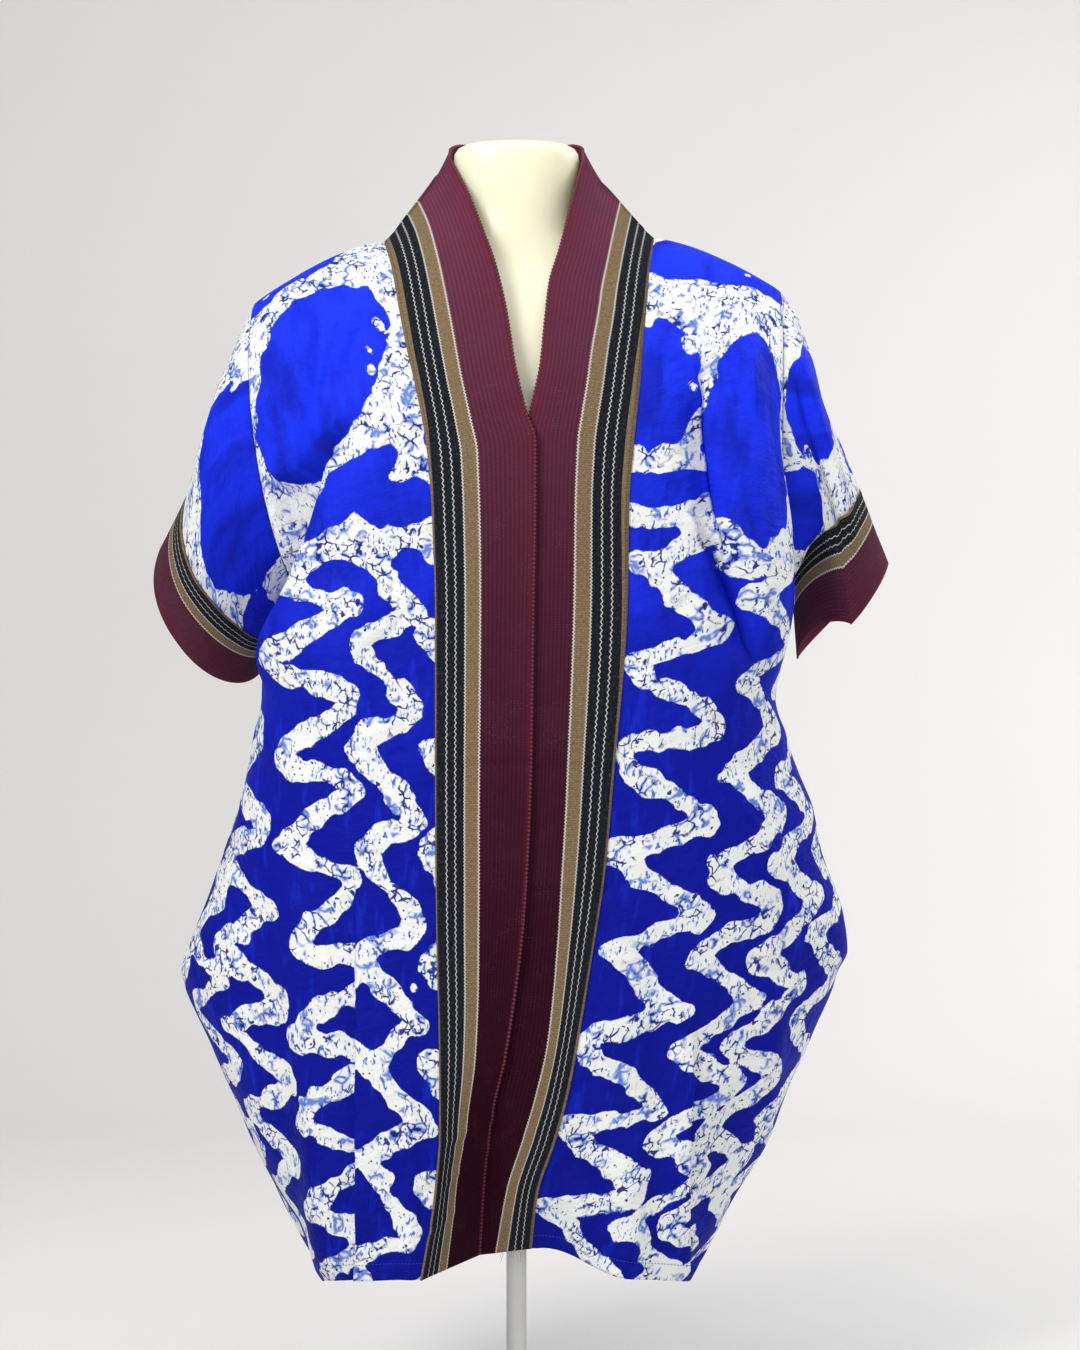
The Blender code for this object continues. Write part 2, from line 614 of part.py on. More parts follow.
def cloth_wall(name, skin, directions, thickness, material, closed=False):
    """A closed solid whose outside is the skin and whose inside is a wall's thickness under it."""
    rows, columns = skin.shape[:2]
    inside = skin - directions * thickness
    mesh = bmesh.new()
    outer = [[mesh.verts.new(placed(p)) for p in row] for row in skin]
    inner = [[mesh.verts.new(placed(p)) for p in row] for row in inside]
    spans = range(columns if closed else columns - 1)
    for r in range(rows - 1):
        for c in spans:
            d = (c + 1) % columns
            mesh.faces.new((outer[r][c], outer[r][d], outer[r + 1][d], outer[r + 1][c]))
            mesh.faces.new((inner[r][c], inner[r + 1][c], inner[r + 1][d], inner[r][d]))
    for c in spans:
        d = (c + 1) % columns
        mesh.faces.new((outer[0][d], outer[0][c], inner[0][c], inner[0][d]))
        mesh.faces.new((outer[-1][c], outer[-1][d], inner[-1][d], inner[-1][c]))
    if not closed:
        for r in range(rows - 1):
            mesh.faces.new((outer[r][0], outer[r + 1][0], inner[r + 1][0], inner[r][0]))
            mesh.faces.new((outer[r + 1][-1], outer[r][-1], inner[r][-1], inner[r + 1][-1]))
    return finished(name, mesh, material)


def finished(name, mesh, material):
    """Turns a bmesh into a smooth-shaded object of the scene, with its faces pointing out."""
    bmesh.ops.recalc_face_normals(mesh, faces=mesh.faces)
    data = bpy.data.meshes.new(name)
    mesh.to_mesh(data)
    mesh.free()
    data.materials.append(material)
    data.shade_smooth()
    data.set_sharp_from_angle(angle=CREASE_ANGLE)
    thing = bpy.data.objects.new(name, data)
    bpy.context.scene.collection.objects.link(thing)
    return thing


def principled(name, colour, roughness, metallic=0.0):
    material = bpy.data.materials.new(name)
    material.use_nodes = True
    shader = material.node_tree.nodes["Principled BSDF"]
    shader.inputs["Base Color"].default_value = (*colour, 1.0)
    shader.inputs["Roughness"].default_value = roughness
    shader.inputs["Metallic"].default_value = metallic
    return material


# ---- the pieces ------------------------------------------------------------------------------------

def make_front(name, band, sleeve, side, folds, material):
    panel = front_panel(band, sleeve, side, folds)
    directions = skin_directions(panel, side)
    directions[:, -1] = (side, 0, 0)
    slope = sleeve[0].top[2] - band_behind(band)[-1].out_z
    directions[-1] = unit(np.array([-side * slope, 0.0, abs(sleeve[0].top[0]) - neck_half_width(band)]))
    directions[:, 0] = neck_direction(panel[:, 0])
    angles = math.pi * (1 - np.linspace(0, 1, ROWS_ABOVE))
    directions[ROWS_BELOW:, -1] = armhole_direction(sleeve[0], angles, side)
    skin = trim(panel, last_row=True, first_column=True, last_column=True)
    cloth_wall(name, skin, directions, COTTON, material)
    return panel


def make_back(material):
    panel = back_panel()
    directions = skin_directions(panel, -1)
    neck = slice(SHOULDER_COLUMNS, SHOULDER_COLUMNS + NECK_COLUMNS + 1)
    for band, sleeve, side in ((RIGHT_BAND, RIGHT_SLEEVE, -1), (LEFT_BAND, LEFT_SLEEVE, 1)):
        edge = 0 if side < 0 else -1
        directions[:, edge] = (side, 0, 0)
        slope = sleeve[0].top[2] - band_behind(band)[-1].out_z
        shoulder = slice(0, neck.start) if side < 0 else slice(neck.stop, None)
        run = abs(sleeve[0].top[0]) - neck_half_width(band)
        directions[-1, shoulder] = unit(np.array([-side * slope, 0.0, run]))
        angles = math.pi * (1 + np.linspace(0, 1, ROWS_ABOVE))
        directions[ROWS_BELOW:, edge] = armhole_direction(sleeve[0], angles, side)
    directions[-1, neck] = neck_direction(panel[-1, neck])
    skin = trim(panel, last_row=True, first_column=True, last_column=True)
    cloth_wall("robe_back", skin, directions, COTTON, material)


def ring_direction(skin):
    """Which way is outward round the seam between a sleeve and its cuff."""
    return unit(skin - skin.mean(axis=0))


def make_sleeve(side_name, rings, cuff_rings, side, cotton, woven):
    sleeve = tube(rings, SLEEVE_ROWS)
    directions = skin_directions(sleeve, side, closed=True)
    directions[0] = armhole_direction(rings[0], tube_angles(), side)
    directions[-1] = ring_direction(sleeve[-1])
    skin = trim(sleeve, first_row=True, last_row=True)
    cloth_wall("sleeve_" + side_name, skin, directions, COTTON, cotton, closed=True)
    cuff = tube(cuff_rings, CUFF_ROWS)
    directions = skin_directions(cuff, side, closed=True)
    directions[0] = ring_direction(cuff[0])
    cloth_wall("cuff_" + side_name, trim(cuff, first_row=True), directions, WOVEN, woven, closed=True)


def make_band(name, band, panel, side, material):
    strip = band_strip(band, panel, side)
    directions = skin_directions(strip, -side)
    directions[:, 0] = neck_direction(strip[:, 0])
    directions[-1, :, 0] = 0
    directions[-1] = unit(directions[-1])
    skin = trim(strip, first_column=True, last_row=True)
    cloth_wall(name, skin, directions, WOVEN, material)


def make_form(material):
    """The limbless form: one turned body with a flat underside and a rounded neck block."""
    mesh = bmesh.new()
    angles = np.linspace(0, 2 * math.pi, FORM_COLUMNS, endpoint=False)
    loops = []
    for cut in FORM:
        power = 2 / cut.corner
        x = signed_power(np.cos(angles), power) * cut.half_width
        depth = np.where(np.sin(angles) > 0, cut.back, cut.front)
        y = signed_power(np.sin(angles), power) * depth
        loops.append([mesh.verts.new(placed(p)) for p in points(x, y, cut.height)])
    for low, high in zip(loops, loops[1:]):
        for c in range(FORM_COLUMNS):
            d = (c + 1) % FORM_COLUMNS
            mesh.faces.new((low[c], low[d], high[d], high[c]))
    mesh.faces.new(loops[0][::-1])
    mesh.faces.new(loops[-1])
    finished("form_torso", mesh, material)


def make_disc(name, radius, bottom, top, edge, material):
    """A round bar or plate standing on its flat face, with softened edges."""
    mesh = bmesh.new()
    height = (top - bottom) * MM
    bmesh.ops.create_cone(mesh, cap_ends=True, segments=STAND_SIDES, radius1=radius * MM,
                          radius2=radius * MM, depth=height)
    disc = finished(name, mesh, material)
    disc.location = (0, 0, bottom * MM + height / 2)
    if edge:
        bevel = disc.modifiers.new("edge", "BEVEL")
        bevel.width = edge * MM
        bevel.segments = 2
        bevel.limit_method = "ANGLE"
    return disc


def build():
    for thing in list(bpy.data.objects):
        bpy.data.objects.remove(thing)
    cotton = principled("printed_cotton", (0.03, 0.05, 0.62), 0.8)
    woven = principled("woven_strip", (0.10, 0.02, 0.04), 0.85)
    ivory = principled("ivory_plastic", (0.86, 0.82, 0.66), 0.3)
    white = principled("white_painted_metal", (0.82, 0.81, 0.78), 0.4)

    right = make_front("robe_front_right", RIGHT_BAND, RIGHT_SLEEVE, -1, RIGHT_FRONT_FOLDS, cotton)
    left = make_front("robe_front_left", LEFT_BAND, LEFT_SLEEVE, 1, LEFT_FRONT_FOLDS, cotton)
    make_back(cotton)
    make_sleeve("right", RIGHT_SLEEVE, RIGHT_CUFF, -1, cotton, woven)
    make_sleeve("left", LEFT_SLEEVE, LEFT_CUFF, 1, cotton, woven)
    make_band("band_right", RIGHT_BAND, right, -1, woven)
    make_band("band_left", LEFT_BAND, left, 1, woven)
    make_form(ivory)
    make_disc("stand_base", BASE_RADIUS, 0, BASE_THICKNESS, BASE_EDGE, white)
    pole_top = STAND_RISE + FORM[0].height - REST_GAP
    make_disc("stand_pole", POLE_RADIUS, BASE_THICKNESS + REST_GAP, pole_top, 0, white)


build()
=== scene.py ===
"""A knee-length open-front robe of wax-resist cotton with hand-woven bands, on a limbless dress form."""

import math
from collections import namedtuple

import bpy
import numpy as np
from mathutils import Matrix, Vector
from mathutils.kdtree import KDTree


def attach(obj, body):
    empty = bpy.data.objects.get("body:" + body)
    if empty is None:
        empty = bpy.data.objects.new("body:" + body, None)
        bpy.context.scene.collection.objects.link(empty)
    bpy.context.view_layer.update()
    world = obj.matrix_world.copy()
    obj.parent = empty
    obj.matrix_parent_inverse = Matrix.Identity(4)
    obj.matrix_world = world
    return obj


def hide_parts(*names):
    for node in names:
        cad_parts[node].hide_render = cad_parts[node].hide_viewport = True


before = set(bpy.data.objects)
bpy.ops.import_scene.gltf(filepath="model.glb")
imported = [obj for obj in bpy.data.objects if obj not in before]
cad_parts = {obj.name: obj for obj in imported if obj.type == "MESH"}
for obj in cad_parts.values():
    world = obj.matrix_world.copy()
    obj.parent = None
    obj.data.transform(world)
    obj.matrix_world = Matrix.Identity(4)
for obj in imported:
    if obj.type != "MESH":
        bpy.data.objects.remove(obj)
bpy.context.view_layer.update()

# ---- The camera --------------------------------------------------------------------------------------
# A level camera straight in front of the robe, a little above the middle of its height. It has no lens
# shift, and it sees the whole robe with some floor and backdrop round it.

CAMERA_PLACE = (0.0212, -2.4, 0.665)
LENS_MM, SENSOR_MM = 71.1, 36

camera = bpy.data.objects.new("camera", bpy.data.cameras.new("camera"))
camera.location = CAMERA_PLACE
camera.rotation_euler = (math.radians(90), 0, 0)
camera.data.sensor_width = SENSOR_MM
camera.data.lens = LENS_MM
bpy.context.scene.collection.objects.link(camera)
bpy.context.scene.camera = camera
bpy.context.scene.view_settings.view_transform = "Standard"

# ---- The two fronts ----------------------------------------------------------------------------------
# Each front is one cut of crisp plain-weave cotton, wax-resist dyed in white on cobalt: big ovals over
# the chest and upright zigzags below. It hangs from the shoulder seam and is sewn to its woven band.
# Lengths in the tables are millimetres, and heights count from STAND_RISE above the floor.

MM = 0.001
STAND_RISE = 70.0
COTTON_THICKNESS = 0.9
HEM_HEIGHT = 50.0
HEM_RISE_IN_FRONT = 29.0
ARMPIT_HEIGHT = 678.0
EDGE_PULL_REACH = 58.0
SHOULDER_ROUNDNESS = 1.9
SHOULDER_DROOP = 1.5
SAMPLES = 320
ROWS_BELOW = 196
ROWS_ABOVE = 83
FRONT_COLUMNS = 128
HEM_TURN = 14.0
SEAM_SINK = 0.5
SEAM_SINK_REACH = 3.5
BAND_EASE, SIDE_EASE, SHOULDER_EASE_ROWS = 12, 14, 12
BAND_HOLDS, SIDE_HOLDS = 0.06, 0.1
SHOULDER_HOLDS_FROM, SHOULDER_HOLDS_OVER = 0.8, 0.2
PUCKER_STARTS = 4
HEM_STANDS, HEM_STITCH_REACH = 0.5, 2.2
FRONT_SWELL, FRONT_SWELL_SIZE = 1.5, 52
FRONT_RIPPLE, FRONT_RIPPLE_SIZE = 0.55, 19

# The body up to the armpits: side seams, depth front and back, and how square the section's corners are.
Level = namedtuple("Level", "height right_side left_side front back right_corner left_corner back_corner")
LEVELS = (
    Level(50, -168, 156, 130, 138, 2.6, 2.6, 2.4),
    Level(79, -187, 172, 131, 140, 2.5, 2.5, 2.3),
    Level(130, -213, 196, 134, 143, 2.4, 2.4, 2.2),
    Level(180, -239, 221, 137, 146, 2.2, 2.2, 2.1),
    Level(225, -258, 244, 139, 148, 2.1, 2.1, 2.0),
    Level(278, -281, 269, 140, 149, 1.9, 1.9, 1.9),
    Level(312, -297, 284, 140, 149, 1.8, 1.9, 1.8),
    Level(328, -301, 289, 140, 149, 1.8, 1.8, 1.8),
    Level(347, -296, 298, 140, 149, 1.8, 1.8, 1.8),
    Level(380, -283, 294, 140, 148, 1.9, 1.9, 1.8),
    Level(432, -265, 276, 139, 146, 2.0, 2.0, 1.9),
    Level(482, -248, 260, 138, 144, 2.2, 2.1, 2.0),
    Level(530, -235, 241, 137, 142, 2.5, 2.3, 2.1),
    Level(572, -226, 233, 136, 140, 3.0, 2.6, 2.2),
    Level(620, -214, 238, 136, 138, 3.2, 3.2, 2.3),
    Level(678, -200, 236, 136, 135, 2.8, 3.0, 2.4),
)

# The edge where each front meets its woven band, and the band's free edge, hem to nape.
Station = namedtuple("Station", "out_x out_y out_z in_x in_y in_z crown")
RIGHT_BAND = (
    Station(-79.5, -130, 80, -31, -78, 90, 0),
    Station(-67, -133, 157, -26, -98, 166, 0),
    Station(-63, -137, 213, -19, -118, 222, 1),
    Station(-62.8, -140, 262, -8, -136, 272, 1),
    Station(-65.3, -140, 392, 8, -146, 397, 2),
    Station(-66.3, -138, 512, 13.5, -146, 514, 2),
    Station(-66.3, -136, 640, 15.5, -145, 650, 2),
    Station(-68.9, -133, 727, 17, -143, 740, 2),
    Station(-72.5, -128, 776, 17, -137, 793, 2),
    Station(-76.5, -121, 806, 9, -130, 820, 2),
    Station(-84, -110, 842, -1, -119, 863, 2),
    Station(-93, -94, 880, -8, -101, 908, 1),
    Station(-101, -74, 919, -18, -84, 952, 0),
    Station(-107, -53, 950, -29, -68, 984, -1),
    Station(-113, -28, 973, -43, -46, 1021, -2),
    Station(-117.5, 0, 985.6, -60, -14, 1057, -2),
    Station(-111, 36, 985, -60.5, 14, 1071, -2),
    Station(-84, 70, 984, -48, 45, 1080, -2),
    Station(-45, 86, 983, -26, 63, 1080, -2),
    Station(0, 90, 982, 0, 68, 1079, -2),
)
LEFT_BAND = (
    Station(12.4, -70, 94, -40, -75, 88, 0),
    Station(17.7, -100, 146, -36, -87, 150, 0),
    Station(33, -120, 197, -29, -105, 205, 0),
    Station(43, -132, 235, -24, -118, 240, 0),
    Station(51, -138, 277, -16, -131, 280, 0),
    Station(64.4, -140, 360, -6, -137.5, 362, 0),
    Station(74.5, -139, 425, 0, -139.5, 427, 1),
    Station(82, -138, 506, 5, -139.5, 508, 1),
    Station(94.2, -136, 659, 7, -139, 661, 1),
    Station(95.5, -133, 740, 8, -136.5, 745, 1),
    Station(99.5, -127, 790, 8.5, -130, 797, 1),
    Station(102, -121, 814, 14, -124.5, 824, 2),
    Station(105.5, -110, 843, 22, -115, 862, 2),
    Station(109, -94, 880, 26, -101, 903, 1),
    Station(112.3, -73, 917, 30, -88, 936, 0),
    Station(115.6, -51, 948, 39, -72, 968, 0),
    Station(119.8, -26, 974, 49, -50, 1010, 0),
    Station(122.9, 0, 988.3, 60, -16, 1055, -1),
    Station(115, 36, 987, 60.5, 14, 1071, -2),
    Station(86, 70, 985, 48, 45, 1080, -2),
    Station(46, 86, 983, 26, 63, 1080, -2),
    Station(0, 90, 982, 0, 68, 1079, -2),
)

# The armholes, as four points round each, which the fronts, the back and the sleeves share.
Ring = namedtuple("Ring", "top front under back fullness tuck")
RIGHT_ARMHOLE = Ring((-233.6, 0, 929.8), (-228.9, -72, 800), (-200, 0, 678), (-222, 70, 800), 2.1, 0)
LEFT_ARMHOLE = Ring((236.3, 0, 940.6), (233.5, -72, 800), (236, 0, 678), (226, 70, 805), 2.1, 0)

# Folds as lines seen from in front. A positive depth stands out. Reach is the spread to the wearer's
# right (-X) and left (+X), and edge is 2 for a soft fold and 1 for a pressed one.
Fold = namedtuple("Fold", "x_top z_top x_end z_end bow depth reach_right reach_left fade_top fade_end edge")
RIGHT_FRONT_FOLDS = (
    Fold(-161, 806, -222, 625, 0, -34, 30, 13, 0.25, 0.35, 2),
    Fold(-144, 806, -214, 570, 0, 9, 8, 40, 0.3, 0.3, 2),
    Fold(-198, 725, -215, 558, 0, 10, 22, 26, 0.35, 0.35, 2),
    Fold(-140, 817, -214, 759, 2, 14, 20, 2.6, 0.12, 0.12, 2),
    Fold(-144, 812, -210, 760, 2, -4.5, 1.6, 6, 0.1, 0.1, 1),
    Fold(-172, 790, -152, 774, 1, -3, 3, 5, 0.3, 0.3, 1),
    Fold(-140, 822, -196, 792, 2, -2.5, 9, 5, 0.4, 0.4, 2),
    Fold(-172, 936, -172, 816, 3, 4.5, 7, 12, 0.3, 0.3, 2),
    Fold(-196, 880, -190, 800, 3, -3, 7, 9, 0.3, 0.3, 2),
    Fold(-141, 930, -158, 856, 2, 3, 5, 8, 0.3, 0.3, 2),
    Fold(-166, 902, -132, 893, 1, 2.4, 3, 7, 0.3, 0.3, 2),
    Fold(-135, 940, -146, 830, 2, -4, 13, 13, 0.4, 0.4, 2),
    Fold(-170, 868, -132, 862, 1, -3.2, 4, 9, 0.3, 0.4, 1),
    Fold(-162, 866, -172, 824, 2, -3.4, 5, 8, 0.3, 0.5, 1),
    Fold(-150, 912, -162, 868, 2, -2.0, 8, 4, 0.4, 0.3, 1),
    Fold(-106, 842, -132, 806, 2, 2.2, 4, 9, 0.3, 0.4, 1),
    Fold(-110, 800, -150, 742, 4, 3, 5, 14, 0.4, 0.4, 2),
    Fold(-134, 470, -136, 40, 0, 4.5, 1.4, 24, 0.35, 0, 2),
    Fold(-136, 470, -138, 40, 0, -5, 16, 1.4, 0.35, 0, 2),
    Fold(-196, 470, -165, 60, 8, 8, 24, 20, 0.4, 0, 2),
    Fold(-232, 420, -190, 60, 6, -7, 18, 18, 0.4, 0, 2),
    Fold(-176, 380, -158, 60, 3, -4, 8, 12, 0.4, 0, 2),
    Fold(-120, 700, -175, 540, 6, 5, 14, 22, 0.4, 0.4, 2),
    Fold(-84, 655, -150, 600, 5, -2.4, 5, 10, 0.3, 0.5, 2),
    Fold(-92, 560, -140, 540, 3, 2.2, 5, 9, 0.3, 0.5, 2),
    Fold(-240, 560, -170, 470, 8, 4, 12, 14, 0.4, 0.5, 2),
    Fold(-270, 470, -215, 330, 10, -4, 12, 14, 0.4, 0.5, 2),
    Fold(-96, 330, -84, 60, 3, 3, 9, 6, 0.5, 0, 2),
)
LEFT_FRONT_FOLDS = (
    Fold(156, 880, 226, 560, -13, -24, 20, 13, 0.25, 0.3, 2),
    Fold(163, 872, 224, 570, -11, 8, 3.2, 30, 0.3, 0.3, 2),
    Fold(196, 930, 234, 600, 4, 12, 22, 18, 0.25, 0.25, 2),
    Fold(149, 730, 190, 650, 4, -6, 14, 4, 0.3, 0.3, 2),
    Fold(158, 735, 200, 640, 4, 6, 3.5, 22, 0.3, 0.3, 2),
    Fold(128, 640, 158, 668, 2, -2.4, 6, 3.2, 0.4, 0.4, 2),
    Fold(104, 806, 140, 832, 2, -1.8, 4, 7, 0.4, 0.4, 2),
    Fold(120, 935, 118, 826, 2, 4, 12, 4, 0.3, 0.3, 2),
    Fold(176, 890, 204, 780, 3, -3, 7, 10, 0.3, 0.3, 2),
    Fold(150, 900, 162, 800, 2, 3, 6, 9, 0.3, 0.3, 2),
    Fold(118, 870, 150, 858, 1, -2.2, 4, 6, 0.3, 0.3, 1),
    Fold(150, 930, 146, 850, 0, -2.4, 8, 8, 0.4, 0.4, 2),
    Fold(176, 520, 244, 400, 6, 8, 24, 8, 0.35, 0.35, 2),
    Fold(186, 500, 256, 376, 6, -4, 3.5, 12, 0.35, 0.35, 2),
    Fold(206, 590, 282, 418, 10, 6, 16, 6, 0.4, 0.4, 2),
    Fold(154, 320, 150, 40, -2, 6, 16, 1.8, 0.35, 0, 2),
    Fold(156, 320, 152, 40, -2, -5, 1.8, 16, 0.35, 0, 2),
    Fold(200, 260, 160, 70, -4, -5, 9, 12, 0.4, 0, 2),
    Fold(116, 420, 120, 60, 4, -5, 18, 18, 0.4, 0, 2),
    Fold(226, 390, 202, 60, 5, 7, 14, 16, 0.4, 0, 2),
    Fold(86, 380, 146, 330, 5, -2.6, 6, 11, 0.3, 0.5, 2),
    Fold(70, 300, 120, 282, 3, 2.4, 6, 10, 0.3, 0.5, 2),
    Fold(112, 566, 168, 520, 6, 2.4, 5, 12, 0.3, 0.5, 2),
    Fold(44, 190, 84, 90, 6, -5, 10, 14, 0.3, 0.2, 2),
    Fold(134, 900, 140, 800, 0, 4, 16, 16, 0.4, 0.4, 2),
)

# Laps are pressed edges, where the cloth on one side of a line hangs over the cloth on the other side. Side
# is 1 where the cloth to the wearer's left is on top, and over is how far it hangs over.
Lap = namedtuple("Lap", "x_top z_top x_end z_end bow side over rise reach")
RIGHT_FRONT_LAPS = (
    Lap(-147, 800, -215, 568, -6, 1, 7.0, 5.0, 13),
)
LEFT_FRONT_LAPS = (
    Lap(152, 874, 223, 545, -13, -1, 7.5, 5.0, 13),
    Lap(147, 736, 191, 625, -3, -1, 4.5, 3.5, 9),
)
LAP_SNAP = 5.0
LAP_SNAP_MOST = 0.6
LAP_EDGE_GAP = 0.3
LAP_FADE_TOP, LAP_FADE_END = 0.14, 0.16
LAP_UNDER_SINKS = 0.4

# Short puckers where a front is eased on to its band: a ridge each, which slants as it leaves the seam.
Pucker = namedtuple("Pucker", "height depth half_height slant reach")
RIGHT_FRONT_PUCKERS = (
    Pucker(716, 2.0, 5, 0.10, 18), Pucker(690, -1.9, 4, -0.15, 14), Pucker(655, 2.3, 5, 0.25, 24),
    Pucker(628, -2.5, 4, -0.10, 16), Pucker(607, 2.9, 4.5, -0.30, 32), Pucker(586, -2.2, 4, 0.20, 18),
    Pucker(561, 2.3, 6, 0.12, 20), Pucker(537, -2.9, 4, -0.25, 30), Pucker(517, 2.0, 4, 0.05, 14),
    Pucker(490, 2.6, 5, -0.35, 26), Pucker(468, -2.3, 4.5, -0.10, 18), Pucker(438, 2.2, 5, 0.30, 22),
    Pucker(402, -2.5, 5, -0.20, 28), Pucker(377, 2.3, 4, -0.40, 24), Pucker(341, -2.0, 5, 0.15, 16),
    Pucker(306, 2.9, 5.5, -0.45, 34), Pucker(283, -2.5, 4, -0.30, 22), Pucker(243, 2.2, 6, 0.10, 20),
    Pucker(203, -2.2, 5, -0.25, 24), Pucker(166, 2.3, 6, -0.35, 26), Pucker(128, -1.9, 5, 0.10, 18),
)
LEFT_FRONT_PUCKERS = (
    Pucker(762, 1.9, 6, 0.15, 18), Pucker(724, -2.0, 5, -0.20, 20), Pucker(699, 2.5, 4.5, -0.30, 26),
    Pucker(676, -2.2, 4, 0.10, 16), Pucker(645, 2.8, 5, 0.35, 30), Pucker(620, -2.0, 4.5, -0.10, 18),
    Pucker(589, 2.2, 5, -0.20, 22), Pucker(553, 2.8, 4.5, -0.35, 28), Pucker(533, -2.6, 4, -0.25, 24),
    Pucker(498, 2.0, 5, 0.15, 16), Pucker(463, -2.3, 5.5, -0.30, 28), Pucker(440, 2.5, 4, -0.15, 20),
    Pucker(410, 2.9, 5, -0.45, 36), Pucker(391, -2.5, 4, -0.30, 24), Pucker(352, 2.0, 6, 0.10, 18),
    Pucker(311, -2.3, 5, -0.25, 26), Pucker(286, 2.5, 4.5, -0.40, 30), Pucker(250, -2.0, 5, 0.20, 18),
    Pucker(212, 2.6, 6, -0.30, 30), Pucker(176, -2.2, 5, -0.20, 22), Pucker(140, 2.0, 6, 0.15, 18),
)

# The resist print, laid out on the flat cloth: across is measured from the band's seam and along from
# the floor. Meanders are the upright zigzags: lean is how fast one drifts outward as it climbs, and back
# the share of a repeat that its inward stroke climbs. Ovals are blue rounds and drops are white spots.
Meander = namedtuple("Meander", "across lean swing repeat phase back seed")
Oval = namedtuple("Oval", "across along half_width half_height tilt")
RIGHT_FRONT_MEANDERS = (
    Meander(-17, 0, 25, 93, 352, 0.27, 11), Meander(42, 0, 23, 88, 359, 0.3, 12),
    Meander(109, 0, 32, 78, 367, 0.72, 13), Meander(199, 0.07, 31, 74, 362, 0.4, 14),
    Meander(260, 0.09, 28, 74, 371, 0.4, 15), Meander(322, 0.10, 27, 74, 380, 0.4, 16),
)
LEFT_FRONT_MEANDERS = (
    Meander(47, 0, 38, 81, 390, 0.88, 22), Meander(127, 0.06, 30, 77, 394, 0.5, 23),
    Meander(184, 0.10, 28, 77, 399, 0.42, 24), Meander(245, 0.11, 27, 77, 404, 0.5, 25),
)
RIGHT_FRONT_OVALS = (
    Oval(92, 861, 55, 105, 38), Oval(72, 754, 62, 17, -42), Oval(26, 742, 40, 20, -6),
    Oval(98, 988, 68, 25, -30), Oval(-8, 800, 10, 16, 0),
)
LEFT_FRONT_OVALS = (
    Oval(14, 864, 38, 64, 12), Oval(112, 806, 50, 94, 2), Oval(112, 852, 45, 48, 0),
    Oval(72, 1004, 80, 50, -6), Oval(32, 764, 40, 16, -4), Oval(196, 800, 16, 50, 4),
)
RIGHT_FRONT_DROPS = (
    Oval(22, 908, 4.5, 8, -25), Oval(34, 882, 2.0, 5, -30), Oval(36, 862, 4, 5.5, 10), Oval(6, 846, 5, 8, 0),
    Oval(2, 700, 9, 11, 4), Oval(22, 330, 3, 4, 0), Oval(96, 560, 2.5, 3.5, 20), Oval(120, 966, 4, 3, 10),
)
LEFT_FRONT_DROPS = (
    Oval(4, 926, 4.5, 7, 30), Oval(40, 893, 4.5, 11, 22), Oval(44, 852, 2.6, 6, 26),
    Oval(92, 972, 3.6, 3.2, 0), Oval(178, 764, 3, 8, 5), Oval(6, 798, 7, 9, 30), Oval(180, 610, 6, 10, 12),
)
RIGHT_YOKE, LEFT_YOKE = 706.0, 752.0
YOKE_BLEND, YOKE_WHITE = 26.0, 14.0
YOKE_WANDERS, YOKE_WANDER_SIZE = 16, 70
OVAL_RIM = 19.0
PRINT_MIDDLE, PRINT_RISE = 400.0, 1040.0
PLEAT_TAKES = 17.0
PLEAT_X, PLEAT_TOP, PLEAT_BLEND = -135.0, 450.0, 90

# The hand in the zigzags: how far a turn strays up and across, and how far the brush wavers and swells.
ZIGZAG_STEPS = 36
ZIGZAG_HALF_WIDTH, ZIGZAG_SWELL, ZIGZAG_WIDTH_STRAY = 8.9, 1.6, 1.4
TURN_STRAYS_UP, TURN_STRAYS_OUT, SWING_LEAST, SWING_MOST = 5, 2.5, 0.88, 1.12
TURN_EASES_OUT, TURN_EASES_UP = 0.5, 0.15
BRUSH_WAVERS = 6
ZIGZAG_SEARCH = 60
WAX_EDGE_BUMPS = ((2.2, 25, 1), (3.6, 13, 2), (1.7, 6.5, 3))

# The print's colours: the white that the wax kept, the dye that got under it, and the cobalt ground,
# with painted shade deepest at the hem and painted light brightest over the chest.
WAX_WHITE = (0.80, 0.82, 0.79, 1)
SEEPED_BLUE = (0.022, 0.12, 0.60, 1)
CRACK_NAVY = (0.006, 0.014, 0.22, 1)
COBALT_SHADED_HEM = (0.0022, 0.0060, 0.215, 1)
COBALT_HALF_LIT_WAIST = (0.0040, 0.0085, 0.34, 1)
COBALT_LIT_CHEST = (0.010, 0.036, 0.90, 1)
SLUB_BLUE = (0.003, 0.008, 0.26, 1)
# Painted shade and painted light for small creases, laid on the ground in random streaks:
PAINTED_CREASE_SHADE_BLUE = (0.0035, 0.009, 0.30, 1)
PAINTED_CREASE_LIGHT_BLUE = (0.012, 0.046, 0.85, 1)


def through(keys, values, at):
    """A smooth curve through values at rising keys that never swings past its neighbours."""
    keys = np.asarray(keys, float)
    values = np.asarray(values, float)
    steps = np.diff(keys)
    slopes = np.diff(values) / steps
    before, after = slopes[:-1], slopes[1:]
    turning = before * after <= 0
    inner = np.where(turning, 0.0, 2 * before * after / np.where(turning, 1.0, before + after))
    tangents = np.concatenate([[slopes[0]], inner, [slopes[-1]]])
    at = np.clip(at, keys[0], keys[-1])
    i = np.clip(np.searchsorted(keys, at) - 1, 0, len(steps) - 1)
    t = (at - keys[i]) / steps[i]
    return (
        values[i] * (1 + 2 * t) * (1 - t) ** 2
        + values[i + 1] * t * t * (3 - 2 * t)
        + steps[i] * (tangents[i] * t * (1 - t) ** 2 + tangents[i + 1] * t * t * (t - 1))
    )


